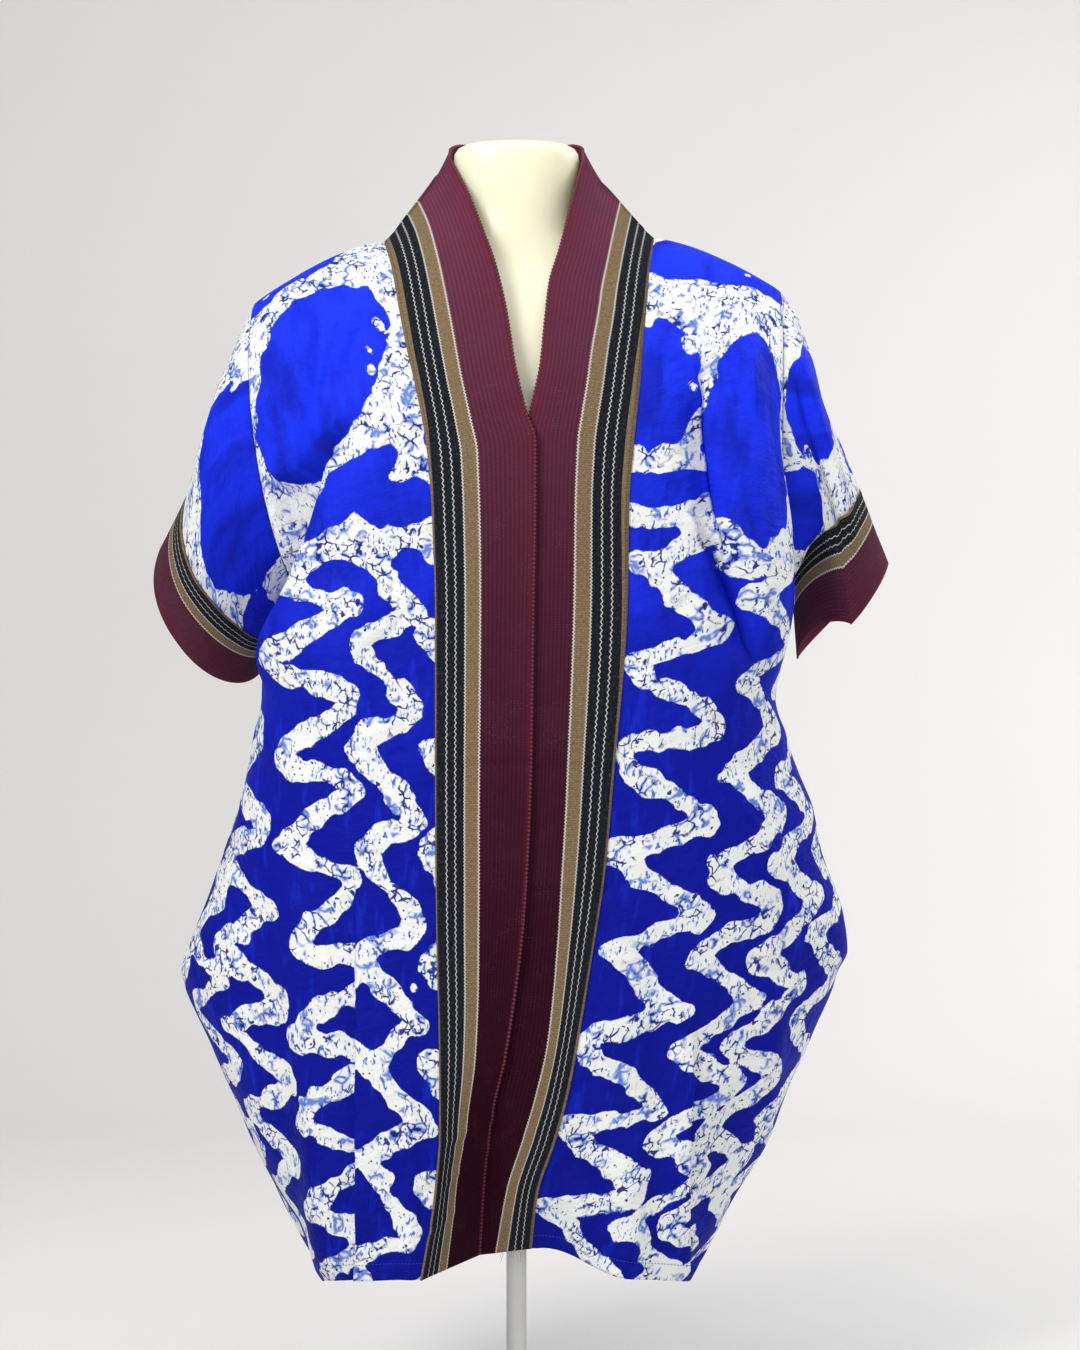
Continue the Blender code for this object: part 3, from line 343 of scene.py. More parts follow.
def column(table, name, key, at):
    """One field of a table's rows, read smoothly between them."""
    return through([getattr(row, key) for row in table], [getattr(row, name) for row in table], at)


def smooth_step(x):
    """Eases from 0 to 1 as x does."""
    x = np.clip(x, 0, 1)
    return x * x * (3 - 2 * x)


def unit(vectors):
    """Vectors of length 1 that point the same way."""
    return vectors / np.maximum(np.linalg.norm(vectors, axis=-1, keepdims=True), 1e-12)


def signed_power(values, exponent):
    """A power that keeps the sign of each value."""
    return np.sign(values) * np.abs(values) ** exponent


def points(*parts):
    """Coordinates of any shapes put together as points."""
    return np.stack(np.broadcast_arrays(*parts), axis=-1).astype(float)


def run_lengths(line):
    """How far along a line of points each of them is."""
    return np.concatenate([[0], np.cumsum(np.linalg.norm(np.diff(line, axis=0), axis=1))])


def read_between(at, keys, rows):
    """Rows of values read at places between their keys."""
    return np.stack([np.interp(at, keys, values) for values in rows.T], axis=-1)


def ring_points(ring, angles):
    """Points round an armhole or sleeve: 0 is its top, 90 degrees its front, 180 its underside."""
    top, front, under, back = (np.array(p, float) for p in ring[:4])
    power = 2 / ring.fullness
    up = signed_power(np.cos(angles), power)[..., None]
    out = signed_power(np.sin(angles), power)[..., None]
    middle = (top + under + front + back) / 4
    skew = (top + under - front - back) / 4
    skin = middle + up * (top - under) / 2 + out * (front - back) / 2 + (up ** 2 - out ** 2) * skew
    low_front = (np.cos(angles) < 0) & (np.sin(angles) > 0)
    skin[..., 2] += ring.tuck * np.clip(-np.sin(2 * angles), 0, 1) * low_front
    return skin


def beside(x, z, line):
    """How far down a bowed line each point is, as a share of it, and how far to the wearer's left of it."""
    run_x, run_z = line.x_end - line.x_top, line.z_end - line.z_top
    length = math.hypot(run_x, run_z)
    run_x, run_z = run_x / length, run_z / length
    from_x, from_z = x - line.x_top, z - line.z_top
    along = (from_x * run_x + from_z * run_z) / length
    inside = np.clip(along, 0, 1)
    return along, -from_x * run_z + from_z * run_x - line.bow * 4 * inside * (1 - inside)


def fold_lift(x, z, folds):
    """How far the folds lift each point of the cloth off its plain form."""
    lift = np.zeros(np.broadcast(x, z).shape)
    for fold in folds:
        along, across = beside(x, z, fold)
        grow = smooth_step(along / max(fold.fade_top, 0.01))
        die = smooth_step((1 - along) / fold.fade_end) if fold.fade_end else 1.0
        reach = np.where(across < 0, fold.reach_right, fold.reach_left)
        lift += fold.depth * np.exp(-((np.abs(across) / reach) ** fold.edge)) * grow * die
    return lift


def section(corner, share):
    """How far out and how far ahead a rounded section is, from its middle (0) to its side (1)."""
    angle = share * math.pi / 2
    return np.sin(angle) ** (2 / corner), np.cos(angle) ** (2 / corner)


def outward_of(grid, faces):
    """The level direction out of the cloth at each point, read along the grid's rows."""
    tangent = np.gradient(grid, axis=1)
    tangent[..., 2] = 0
    tangent = unit(tangent + np.array([1e-9, 0, 0]))
    return points(tangent[..., 1], -tangent[..., 0], 0) * faces


def spread_evenly(row, holds, count):
    """Columns the same distance apart along a row of points, and how fully folds are formed at each."""
    length = run_lengths(row)
    at = np.linspace(0, length[-1], count)
    return read_between(at, length, row), np.interp(at, length, holds)


def snapped(plain, holds, lap):
    """Slides the grid's points along the cloth until one line of them lies on a lap's edge."""
    along, away = beside(plain[..., 0], plain[..., 2], lap)
    nearest = np.abs(away).argmin(axis=1)[:, None]
    step = np.take_along_axis(np.gradient(away, axis=1), nearest, 1)
    short = np.take_along_axis(LAP_EDGE_GAP * lap.side - away, nearest, 1) / step
    on_line = np.take_along_axis(along, nearest, 1)
    beside_lap = (on_line > -0.1) & (on_line < 1.1)
    short = np.where(beside_lap, np.clip(short, -LAP_SNAP_MOST, LAP_SNAP_MOST), 0)
    index = np.indices(away.shape)[1]
    moved = index + short * np.exp(-(((index - nearest) / LAP_SNAP) ** 2))
    moved = np.clip(moved, 0, away.shape[1] - 1.001)
    low = np.floor(moved).astype(int)
    rest = moved - low
    slid = []
    for values in (plain[..., 0], plain[..., 1], plain[..., 2], holds):
        here, there = (np.take_along_axis(values, low + k, 1) for k in (0, 1))
        slid.append(here * (1 - rest) + there * rest)
    return np.stack(slid[:3], axis=-1), slid[3]


def lapped(skin, plain, facing, laps):
    """Hangs the upper cloth of each lap over its edge and lifts it clear."""
    faces = skin_directions(plain, facing)
    for lap in laps:
        along, away = beside(plain[..., 0], plain[..., 2], lap)
        full = smooth_step(along / LAP_FADE_TOP) * smooth_step((1 - along) / LAP_FADE_END)
        on_top = away * lap.side > 0
        near = np.exp(-np.abs(away) / lap.reach) * full
        length = math.hypot(lap.x_end - lap.x_top, lap.z_end - lap.z_top)
        over = np.array([lap.z_end - lap.z_top, 0, lap.x_top - lap.x_end]) * lap.side / length
        over = unit(over - (faces @ over)[..., None] * faces)
        skin = skin + over * np.where(on_top, lap.over * near, 0)[..., None]
        skin = skin + faces * (np.where(on_top, 1, -LAP_UNDER_SINKS) * lap.rise * near)[..., None]
    return skin


def shoulder_line(band, armhole, share):
    """The shoulder seam, from the neck (0) down to the top of the armhole (1)."""
    neck = max(band, key=lambda station: abs(station.out_x))
    x = neck.out_x + (armhole.top[0] - neck.out_x) * share
    return points(x, 0, neck.out_z + (armhole.top[2] - neck.out_z) * share ** SHOULDER_DROOP)


def band_front(band):
    """The stations of a band from the hem to the shoulder seam."""
    return [station for station in band if station.out_y <= 0]


def band_edge(band, height):
    """Where a band meets its front at a height."""
    front = band_front(band)
    return points(column(front, "out_x", "out_z", height), column(front, "out_y", "out_z", height), height)


def front_row_below(band, side, share_up):
    """A dense row of a front between the hem (0) and the armpit (1), from the band to the side seam."""
    share = np.linspace(0, 1, SAMPLES)
    edge_hem = band[0].out_z
    edge = band_edge(band, edge_hem + (ARMPIT_HEIGHT - edge_hem) * share_up)
    height = HEM_HEIGHT + (ARMPIT_HEIGHT - HEM_HEIGHT) * share_up
    name = "right" if side < 0 else "left"
    side_x = column(LEVELS, name + "_side", "height", height)
    depth = column(LEVELS, "front", "height", height)
    out, ahead = section(column(LEVELS, name + "_corner", "height", height), share)
    x = edge[0] + (side_x - edge[0]) * out
    pull = np.exp(-((np.abs(x - edge[0]) / EDGE_PULL_REACH) ** 3))
    y = -depth * ahead + (edge[1] + depth) * pull
    hem = HEM_HEIGHT + HEM_RISE_IN_FRONT * ahead
    hem = hem + (edge_hem - HEM_HEIGHT - HEM_RISE_IN_FRONT) * pull
    return points(x, y, hem + (ARMPIT_HEIGHT - hem) * share_up)


def rolled(bottom, top, share_up):
    """A row on the quarter turn from the armpit row, straight up, over to the seam on top."""
    angle = share_up * math.pi / 2
    rise = math.sin(angle) ** (2 / SHOULDER_ROUNDNESS)
    run = math.cos(angle) ** (2 / SHOULDER_ROUNDNESS) if share_up < 1 else 0.0
    return points(
        bottom[:, 0] + (top[:, 0] - bottom[:, 0]) * rise,
        top[:, 1] + (bottom[:, 1] - top[:, 1]) * run,
        bottom[:, 2] + (top[:, 2] - bottom[:, 2]) * rise,
    )


def front_row_above(band, armhole, side, share_up):
    """A dense row of a front between the armpit (0) and the shoulder seam (1)."""
    share = np.linspace(0, 1, SAMPLES)
    row = rolled(front_row_below(band, side, 1.0), shoulder_line(band, armhole, share), share_up)
    row += (band_edge(band, row[0, 2]) - row[0]) * ((1 - share) ** 3)[:, None]
    row += (ring_points(armhole, np.array(math.pi * (1 - share_up))) - row[-1]) * (share ** 3)[:, None]
    return row


def front_grid(band, armhole, side, folds, laps):
    """The plain and the folded outer skin of a front: rows from hem to shoulder, columns from the band."""
    share = np.linspace(0, 1, SAMPLES)
    seams = smooth_step(share / BAND_HOLDS) * smooth_step((1 - share) / SIDE_HOLDS)
    rows = [(front_row_below(band, side, s), 1.0) for s in np.linspace(0, 1, ROWS_BELOW, endpoint=False)]
    for s in np.linspace(0, 1, ROWS_ABOVE):
        hold = 1 - smooth_step((s - SHOULDER_HOLDS_FROM) / SHOULDER_HOLDS_OVER)
        rows.append((front_row_above(band, armhole, side, s), hold))
    spread = [spread_evenly(row, seams * hold, FRONT_COLUMNS) for row, hold in rows]
    plain, holds = (np.array(values) for values in zip(*spread))
    for lap in laps:
        plain, holds = snapped(plain, holds, lap)
    lift = fold_lift(plain[..., 0], plain[..., 2], folds) * holds
    return plain, plain + outward_of(plain, side) * lift[..., None]


def cloth_measures(plain):
    """Where each point was on the flat cloth: along its row, and up its column from the floor."""
    across = np.zeros(plain.shape[:2])
    across[:, 1:] = np.cumsum(np.linalg.norm(np.diff(plain, axis=1), axis=2), axis=1)
    along = np.repeat(plain[:1, :, 2], len(plain), axis=0)
    along[1:] += np.cumsum(np.linalg.norm(np.diff(plain, axis=0)[..., 1:], axis=2), axis=0)
    return across, along


def bumps(across, along, size, seed):
    """Smooth random values from -1 to 1, about one to each size of cloth."""
    table = np.random.default_rng(seed).uniform(-1, 1, (64, 64))
    x, y = across / size, along / size
    i, j = np.floor(x).astype(int), np.floor(y).astype(int)
    s, t = smooth_step(x - i), smooth_step(y - j)
    i, j, k, m = i % 64, j % 64, (i + 1) % 64, (j + 1) % 64
    low = table[i, j] * (1 - s) + table[k, j] * s
    high = table[i, m] * (1 - s) + table[k, m] * s
    return low * (1 - t) + high * t


def skin_directions(skin, facing):
    """Which way each point of a skin faces. Facing is 1 or -1: the turn from columns to rows."""
    return unit(np.cross(np.gradient(skin, axis=1), np.gradient(skin, axis=0))) * facing


def zigzag_points(meander):
    """Points down the middle of an upright zigzag, and its half width at each."""
    draw = np.random.default_rng(meander.seed)
    pairs = int(PRINT_RISE / meander.repeat) + 3
    start = meander.phase % meander.repeat - 2 * meander.repeat
    climb = start + meander.repeat * (np.arange(pairs)[:, None] + np.array([0, meander.back])).ravel()
    climb = climb + draw.uniform(-TURN_STRAYS_UP, TURN_STRAYS_UP, 2 * pairs)
    swing = meander.swing * np.tile([1, -1], pairs) * draw.uniform(SWING_LEAST, SWING_MOST, 2 * pairs)
    swing = swing + meander.across + meander.lean * (climb - PRINT_MIDDLE)
    swing = swing + draw.uniform(-TURN_STRAYS_OUT, TURN_STRAYS_OUT, 2 * pairs)
    place = np.arange(2 * pairs, dtype=float)
    at = np.linspace(0, place[-1], 2 * pairs * ZIGZAG_STEPS)
    eased = np.floor(at) + smooth_step(at % 1)
    x = np.interp((1 - TURN_EASES_OUT) * at + TURN_EASES_OUT * eased, place, swing)
    z = np.interp((1 - TURN_EASES_UP) * at + TURN_EASES_UP * eased, place, climb)
    waver = np.interp(at, place, draw.uniform(-BRUSH_WAVERS, BRUSH_WAVERS, len(place)))
    waver = waver * np.sin(at * math.pi * 2)
    bulb = np.cos(at * math.pi) ** 4
    stray = draw.uniform(-ZIGZAG_WIDTH_STRAY, ZIGZAG_WIDTH_STRAY, len(place))
    width = ZIGZAG_HALF_WIDTH + ZIGZAG_SWELL * bulb + np.interp(at, place, stray)
    return np.stack([x + 0.5 * waver, z + waver], axis=1), width


def outside_ovals(across, along, ovals):
    """Distance outside the nearest oval, roughly, and negative inside one."""
    nearest = np.full(across.shape, 1e3)
    for oval in ovals:
        turn = math.radians(oval.tilt)
        x = (across - oval.across) * math.cos(turn) + (along - oval.along) * math.sin(turn)
        y = -(across - oval.across) * math.sin(turn) + (along - oval.along) * math.cos(turn)
        ratio = np.sqrt((x / oval.half_width) ** 2 + (y / oval.half_height) ** 2)
        nearest = np.minimum(nearest, (ratio - 1) * min(oval.half_width, oval.half_height))
    return nearest


def resist_print(across, along, meanders, ovals, drops, yoke_starts, seed):
    """How far inside the white of the print each point is, in millimetres, and negative on the blue."""
    zigzag = np.full(across.shape, -1e3)
    for meander in meanders:
        line, width = zigzag_points(meander)
        tree = KDTree(len(line))
        for i, (x, y) in enumerate(line):
            tree.insert((x, y, 0), i)
        tree.balance()
        close = np.abs(across - meander.across) < 3 * meander.swing + ZIGZAG_SEARCH
        found = [tree.find((x, y, 0)) for x, y in zip(across[close], along[close])]
        inside = width[[f[1] for f in found]] - [f[2] for f in found]
        zigzag[close] = np.maximum(zigzag[close], inside)
    wander = YOKE_WANDERS * bumps(across, along, YOKE_WANDER_SIZE, seed + 5)
    yoke = smooth_step((along + wander - yoke_starts) / YOKE_BLEND + 0.5)
    beyond = outside_ovals(across, along, ovals)
    white = np.maximum(zigzag * (1 - yoke) + YOKE_WHITE * yoke, OVAL_RIM - beyond)
    white = np.minimum(white, beyond)
    for height, size, turn in WAX_EDGE_BUMPS:
        white += height * bumps(across, along, size, seed + turn)
    return np.maximum(white, -outside_ovals(across, along, drops))


def add(tree, kind, inputs=None, **settings):
    """Adds a shader node, sets it up, and links or fills its inputs."""
    made = tree.nodes.new("ShaderNode" + kind)
    for name, value in settings.items():
        setattr(made, name, value)
    for socket, value in (inputs or {}).items():
        if isinstance(value, bpy.types.NodeSocket):
            tree.links.new(value, made.inputs[socket])
        else:
            made.inputs[socket].default_value = value
    return made


def sums(tree, operation, *values):
    """One sum of shader values, by the operation named."""
    return add(tree, "Math", dict(enumerate(values)), operation=operation).outputs[0]


def between(tree, value, low, high, start=0.0, end=1.0):
    """Turns a value between low and high into one between start and end, and holds it beyond them."""
    inputs = {"Value": value, "From Min": low, "From Max": high, "To Min": start, "To Max": end}
    return add(tree, "MapRange", inputs).outputs[0]


def blend(tree, share, first, second):
    """The first colour turned into the second one by a share."""
    made = add(tree, "Mix", {0: share, 6: first, 7: second}, data_type="RGBA")
    return made.outputs[2]


def grain(tree, where, scale, detail=2.0, roughness=0.5):
    """Soft random unevenness from 0 to 1."""
    inputs = {"Vector": where, "Scale": scale, "Detail": detail, "Roughness": roughness}
    return add(tree, "TexNoise", inputs).outputs["Fac"]


def stretched(tree, where, scale, turn=0.0):
    """Cloth measures turned and stretched, so that what is drawn with them runs one way."""
    inputs = {"Vector": where, "Scale": (*scale, 1.0), "Rotation": (0, 0, math.radians(turn))}
    return add(tree, "Mapping", inputs).outputs[0]


def new_material(name):
    """A new material, its nodes and its shader."""
    made = bpy.data.materials.new(name)
    made.use_nodes = True
    return made, made.node_tree, made.node_tree.nodes["Principled BSDF"]


def cloth_material(name, roughness, specular, sheen):
    """A new cloth material, its nodes, its shader and the flat-cloth measures in metres."""
    made, tree, shader = new_material(name)
    shader.inputs["Roughness"].default_value = roughness
    shader.inputs["Specular IOR Level"].default_value = specular
    shader.inputs["Sheen Weight"].default_value = sheen
    shader.inputs["Sheen Roughness"].default_value = 0.5
    return made, tree, shader, add(tree, "UVMap", uv_map="cloth").outputs[0]


def wax_cotton():
    """White wax-resist on cobalt with navy cracks and pale blue seepage, painted shade deeper towards the
    hem, painted light over the chest, and painted crease shade and light.
    """
    made, tree, shader, where = cloth_material("wax_resist_cotton", 0.62, 0.06, 0.0)
    resist = add(tree, "Attribute", attribute_name="resist").outputs["Fac"]
    ragged = sums(tree, "MULTIPLY_ADD", grain(tree, where, 420, 3), 1.6, -0.8)
    white = between(tree, sums(tree, "ADD", resist, ragged), -0.35, 0.35)

    shift = add(tree, "TexNoise", {"Vector": where, "Scale": 110.0, "Detail": 1.0}).outputs["Color"]
    shift = add(tree, "VectorMath", {0: shift, 1: (0.5, 0.5, 0.5)}, operation="SUBTRACT").outputs[0]
    shift = add(tree, "VectorMath", {0: shift, "Scale": 0.008}, operation="SCALE").outputs[0]
    crooked = add(tree, "VectorMath", {0: where, 1: shift}, operation="ADD").outputs[0]
    cells = {"Vector": crooked, "Scale": 102.0}
    cells = add(tree, "TexVoronoi", cells, feature="DISTANCE_TO_EDGE").outputs[0]
    broken = between(tree, grain(tree, where, 130, 1), 0.46, 0.51)
    cracks = sums(tree, "MULTIPLY", between(tree, cells, 0.045, 0.085, 1, 0), broken)
    cracks = sums(tree, "MULTIPLY", cracks, between(tree, grain(tree, where, 28, 1), 0.46, 0.54))
    spots = add(tree, "TexVoronoi", {"Vector": where, "Scale": 170.0}).outputs["Distance"]
    spots = sums(tree, "MULTIPLY", between(tree, spots, 0.12, 0.19, 1, 0),
                 between(tree, grain(tree, where, 40, 1), 0.46, 0.51))
    blots = between(tree, grain(tree, where, 130, 2), 0.675, 0.70)
    navy = sums(tree, "MAXIMUM", cracks, sums(tree, "MAXIMUM", spots, blots))
    streaks = between(tree, grain(tree, stretched(tree, where, (330, 130), 35), 1, 3, 0.6), 0.55, 0.60)
    smudge = sums(tree, "MULTIPLY", streaks, between(tree, grain(tree, where, 45, 1), 0.46, 0.52))
    halo = between(tree, cells, 0.05, 0.22, 0.9, 0)
    halo = sums(tree, "MULTIPLY", halo, between(tree, grain(tree, where, 55, 1), 0.55, 0.60))
    seep = sums(tree, "MAXIMUM", smudge, halo)
    ink = blend(tree, sums(tree, "MULTIPLY", seep, 0.95), WAX_WHITE, SEEPED_BLUE)
    ink = blend(tree, sums(tree, "MULTIPLY", navy, 0.97), ink, CRACK_NAVY)

    # Painted light and shade by height in the scene: the cobalt goes from painted shade at the hem to
    # painted light over the chest.
    climb = add(tree, "SeparateXYZ", {0: add(tree, "TexCoord").outputs["Object"]}).outputs[2]
    painted_light_height = sums(tree, "ADD", climb, sums(tree, "MULTIPLY_ADD", grain(tree, where, 7, 2), 0.3, -0.15))
    painted_light_upper = blend(tree, between(tree, painted_light_height, 0.55, 1.02), COBALT_HALF_LIT_WAIST, COBALT_LIT_CHEST)
    painted_light_cobalt = blend(tree, between(tree, painted_light_height, 0.1, 0.75), COBALT_SHADED_HEM, painted_light_upper)
    slubs = between(tree, grain(tree, stretched(tree, where, (900, 22)), 1, 2), 0.45, 0.75, 0, 0.14)
    ground = blend(tree, slubs, painted_light_cobalt, SLUB_BLUE)
    # Painted crease shade and painted crease light: random streaks of darker and lighter blue that stand in
    # for the shading of small creases.
    painted_crease_shade = grain(tree, stretched(tree, where, (26, 11), 28), 1, 4, 0.55)
    ground = blend(tree, between(tree, painted_crease_shade, 0.46, 0.62, 0, 0.62), ground, PAINTED_CREASE_SHADE_BLUE)
    pressed = grain(tree, stretched(tree, where, (70, 16), 35), 1, 3, 0.6)
    ground = blend(tree, between(tree, pressed, 0.55, 0.68, 0, 0.26), ground, PAINTED_CREASE_LIGHT_BLUE)
    colour = blend(tree, white, ground, ink)
    tree.links.new(colour, shader.inputs["Base Color"])

    warp = add(tree, "TexWave", {"Vector": where, "Scale": 320.0, "Distortion": 0.6},
               bands_direction="X").outputs["Fac"]
    weft = add(tree, "TexWave", {"Vector": where, "Scale": 290.0, "Distortion": 0.6},
               bands_direction="Y").outputs["Fac"]
    weave = sums(tree, "ADD", sums(tree, "MAXIMUM", warp, weft), grain(tree, where, 700, 2))
    bump = add(tree, "Bump", {"Height": weave, "Strength": 0.35, "Distance": 0.0002}).outputs[0]
    crumple = grain(tree, stretched(tree, where, (45, 75), 24), 1, 4, 0.6)
    crumple = {"Height": crumple, "Strength": 0.7, "Distance": 0.005, "Normal": bump}
    bump = add(tree, "Bump", crumple).outputs[0]
    tree.links.new(bump, shader.inputs["Normal"])
    return made


def new_piece(name, mesh, material):
    """Sets a finished mesh into the scene as one smooth piece."""
    mesh.materials.append(material)
    mesh.shade_smooth()
    thing = bpy.data.objects.new(name, mesh)
    bpy.context.scene.collection.objects.link(thing)
    return thing


def sew(name, skin, across, along, facing, thickness, material, node, resist=None):
    """One cut of cloth as a thin shell under its outer skin. It keeps its flat-cloth measures in metres."""
    rows, columns = skin.shape[:2]
    index = np.arange(rows * columns).reshape(rows, columns)
    corners = [index[:-1, :-1], index[:-1, 1:], index[1:, 1:], index[1:, :-1]]
    measures = points(across, along) * MM
    spots = [measures[:-1, :-1], measures[:-1, 1:], measures[1:, 1:], measures[1:, :-1]]
    if facing < 0:
        corners, spots = corners[::-1], spots[::-1]
    mesh = bpy.data.meshes.new(name)
    placed = (skin.reshape(-1, 3) + (0, 0, STAND_RISE)) * MM
    mesh.from_pydata(placed.tolist(), [], np.stack(corners, axis=-1).reshape(-1, 4).tolist())
    layer = mesh.uv_layers.new(name="cloth")
    layer.data.foreach_set("uv", np.stack(spots, axis=2).reshape(-1).astype(np.float32))
    if resist is not None:
        kept = mesh.attributes.new("resist", "FLOAT", "POINT")
        kept.data.foreach_set("value", resist.reshape(-1).astype(np.float32))
    thing = new_piece(name, mesh, material)
    wall = thing.modifiers.new("thickness", "SOLIDIFY")
    wall.thickness = thickness * MM
    wall.offset = -1
    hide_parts(node)
    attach(thing, "root")
    return thing


def settle(skin, facing, lift):
    """Moves each point of a skin straight out by its lift."""
    return skin + skin_directions(skin, facing) * lift[..., None]


def seam_dip(distance):
    """Cloth dips beside a seam, where it turns in to the allowance."""
    return -SEAM_SINK * np.exp(-((distance / SEAM_SINK_REACH) ** 2))


def pucker_lift(across, height, puckers):
    """How far the puckers lift each point of a front beside its band."""
    lift = np.zeros(across.shape)
    for pucker in puckers:
        off = (height - pucker.height - pucker.slant * across) / pucker.half_height
        ridge = pucker.depth * np.exp(-off ** 2) * (1 - np.exp(-across / PUCKER_STARTS))
        lift += ridge * np.exp(-across / pucker.reach)
    return lift


def hem_ridge(climb):
    """The turned-up hem stands a little proud up to its stitch line, which sinks in."""
    ridge = HEM_STANDS * (1 - smooth_step((climb - HEM_TURN + 1) / 2))
    return ridge - HEM_STANDS * np.exp(-(((climb - HEM_TURN) / HEM_STITCH_REACH) ** 2))


def make_front(name, node, band, armhole, side, folds, laps, puckers, print_parts, seed, pleat):
    """One front, its outer skin, and how far each point of it is above the hem."""
    plain, folded = front_grid(band, armhole, side, folds, laps)
    across, along = cloth_measures(plain)
    climb = along - along[:1]
    from_side = across[:, -1:] - across
    lift = pucker_lift(across, plain[..., 2], puckers)
    swell = FRONT_SWELL * bumps(across, along, FRONT_SWELL_SIZE, seed)
    lift += swell + FRONT_RIPPLE * bumps(across, along, FRONT_RIPPLE_SIZE, seed + 3)
    lift *= smooth_step(across / BAND_EASE) * smooth_step(from_side / SIDE_EASE)
    lift *= smooth_step((len(plain) - 1 - np.arange(len(plain))) / SHOULDER_EASE_ROWS)[:, None]
    lift += seam_dip(across) + seam_dip(from_side) + hem_ridge(climb)
    printed = across.copy()
    if pleat:
        taken = PLEAT_TAKES * smooth_step((PLEAT_TOP - plain[..., 2]) / PLEAT_BLEND)
        printed += np.where(plain[..., 0] < PLEAT_X - 1, taken, 0)
    resist = resist_print(printed, along, *print_parts, seed)
    skin = lapped(settle(folded, side, lift), plain, side, laps)
    made = sew(name, skin, printed, along, side, COTTON_THICKNESS, cotton, node, resist)
    return made, skin, climb


cotton = wax_cotton()
front_right, front_right_skin, front_right_climb = make_front(
    "front_right_cotton", "robe_front_right", RIGHT_BAND, RIGHT_ARMHOLE, -1,
    RIGHT_FRONT_FOLDS, RIGHT_FRONT_LAPS, RIGHT_FRONT_PUCKERS,
    (RIGHT_FRONT_MEANDERS, RIGHT_FRONT_OVALS, RIGHT_FRONT_DROPS, RIGHT_YOKE), 100, pleat=True,
)
front_left, front_left_skin, front_left_climb = make_front(
    "front_left_cotton", "robe_front_left", LEFT_BAND, LEFT_ARMHOLE, 1,
    LEFT_FRONT_FOLDS, LEFT_FRONT_LAPS, LEFT_FRONT_PUCKERS,
    (LEFT_FRONT_MEANDERS, LEFT_FRONT_OVALS, LEFT_FRONT_DROPS, LEFT_YOKE), 200, pleat=False,
)

# ---- The back ----------------------------------------------------------------------------------------
# One wide cut of the same cotton, from side seam to side seam, gathered by its own weight into long
# folds that start between the shoulder blades. Its top edge carries the shoulder seams and the neckline.

BACK_COLUMNS = 165
BACK_FOLDS = (
    Fold(-160, 900, -212, 50, 8, 10, 24, 18, 0.3, 0, 2),
    Fold(-112, 850, -160, 50, -5, -9, 16, 20, 0.3, 0, 2),
    Fold(-66, 890, -104, 50, 4, 9, 22, 14, 0.3, 0, 2),
    Fold(-20, 820, -52, 50, 4, -7, 16, 20, 0.4, 0, 2),
    Fold(28, 900, 12, 50, -6, 9, 18, 24, 0.3, 0, 2),
    Fold(66, 800, 68, 50, 5, -8, 18, 13, 0.3, 0, 2),
    Fold(104, 880, 128, 50, 6, 10, 14, 22, 0.3, 0, 2),
    Fold(146, 820, 176, 50, -4, -7, 18, 18, 0.4, 0, 2),
    Fold(178, 890, 222, 50, -6, 8, 20, 16, 0.3, 0, 2),
    Fold(-196, 690, -96, 570, 8, 7, 10, 16, 0.4, 0.4, 2),
    Fold(222, 700, 118, 560, -8, 7, 16, 9, 0.4, 0.4, 2),
    Fold(-178, 640, -120, 500, 6, -4, 7, 12, 0.4, 0.5, 2),
    Fold(206, 640, 150, 540, -5, -4, 9, 7, 0.4, 0.5, 2),
    Fold(-132, 330, -148, 50, 3, 4, 3, 13, 0.5, 0, 2),
    Fold(40, 300, 34, 50, -3, 4, 12, 3, 0.5, 0, 2),
    Fold(196, 260, 190, 50, 2, -4, 6, 10, 0.5, 0, 2),
    Fold(-40, 960, -150, 880, 8, -3, 8, 14, 0.3, 0.5, 2),
    Fold(50, 955, 140, 890, -6, -2.6, 12, 8, 0.3, 0.5, 2),
    Fold(-60, 700, 40, 690, 4, -1.8, 5, 9, 0.4, 0.4, 2),
)
BACK_MEANDERS = (
    Meander(-370, 0.04, 27, 78, 330, 0.5, 31), Meander(-290, 0.03, 29, 78, 334, 0.52, 32),
    Meander(-208, 0.02, 28, 78, 337, 0.55, 33), Meander(-128, 0, 31, 78, 340, 0.55, 34),
    Meander(-44, 0, 29, 78, 343, 0.55, 35), Meander(38, 0, 30, 78, 345, 0.5, 36),
    Meander(119, 0, 29, 78, 345, 0.48, 37), Meander(198, -0.02, 30, 78, 343, 0.46, 38),
    Meander(278, -0.03, 28, 78, 340, 0.46, 39), Meander(354, -0.04, 27, 78, 336, 0.5, 40),
)
BACK_OVALS = (
    Oval(-150, 900, 58, 66, 12), Oval(-22, 930, 52, 54, -8), Oval(116, 905, 56, 70, 8),
    Oval(230, 860, 34, 72, -10), Oval(-246, 850, 30, 70, 8), Oval(48, 842, 26, 20, 30),
    Oval(-84, 832, 24, 18, -20),
)
BACK_DROPS = (
    Oval(-128, 930, 5, 10, -20), Oval(130, 880, 6, 9, 30), Oval(-10, 914, 4, 8, 10), Oval(20, 700, 4, 6, 0),
    Oval(-210, 560, 5, 7, 15), Oval(224, 420, 4, 6, -15),
)
BACK_YOKE = 800.0
BACK_SWELL, BACK_SWELL_SIZE = 1.5, 54
BACK_RIPPLE, BACK_RIPPLE_SIZE = 0.6, 20
BACK_SIDE_HOLDS = 0.06
BACK_HOLDS_FROM, BACK_HOLDS_OVER = 0.6, 0.4


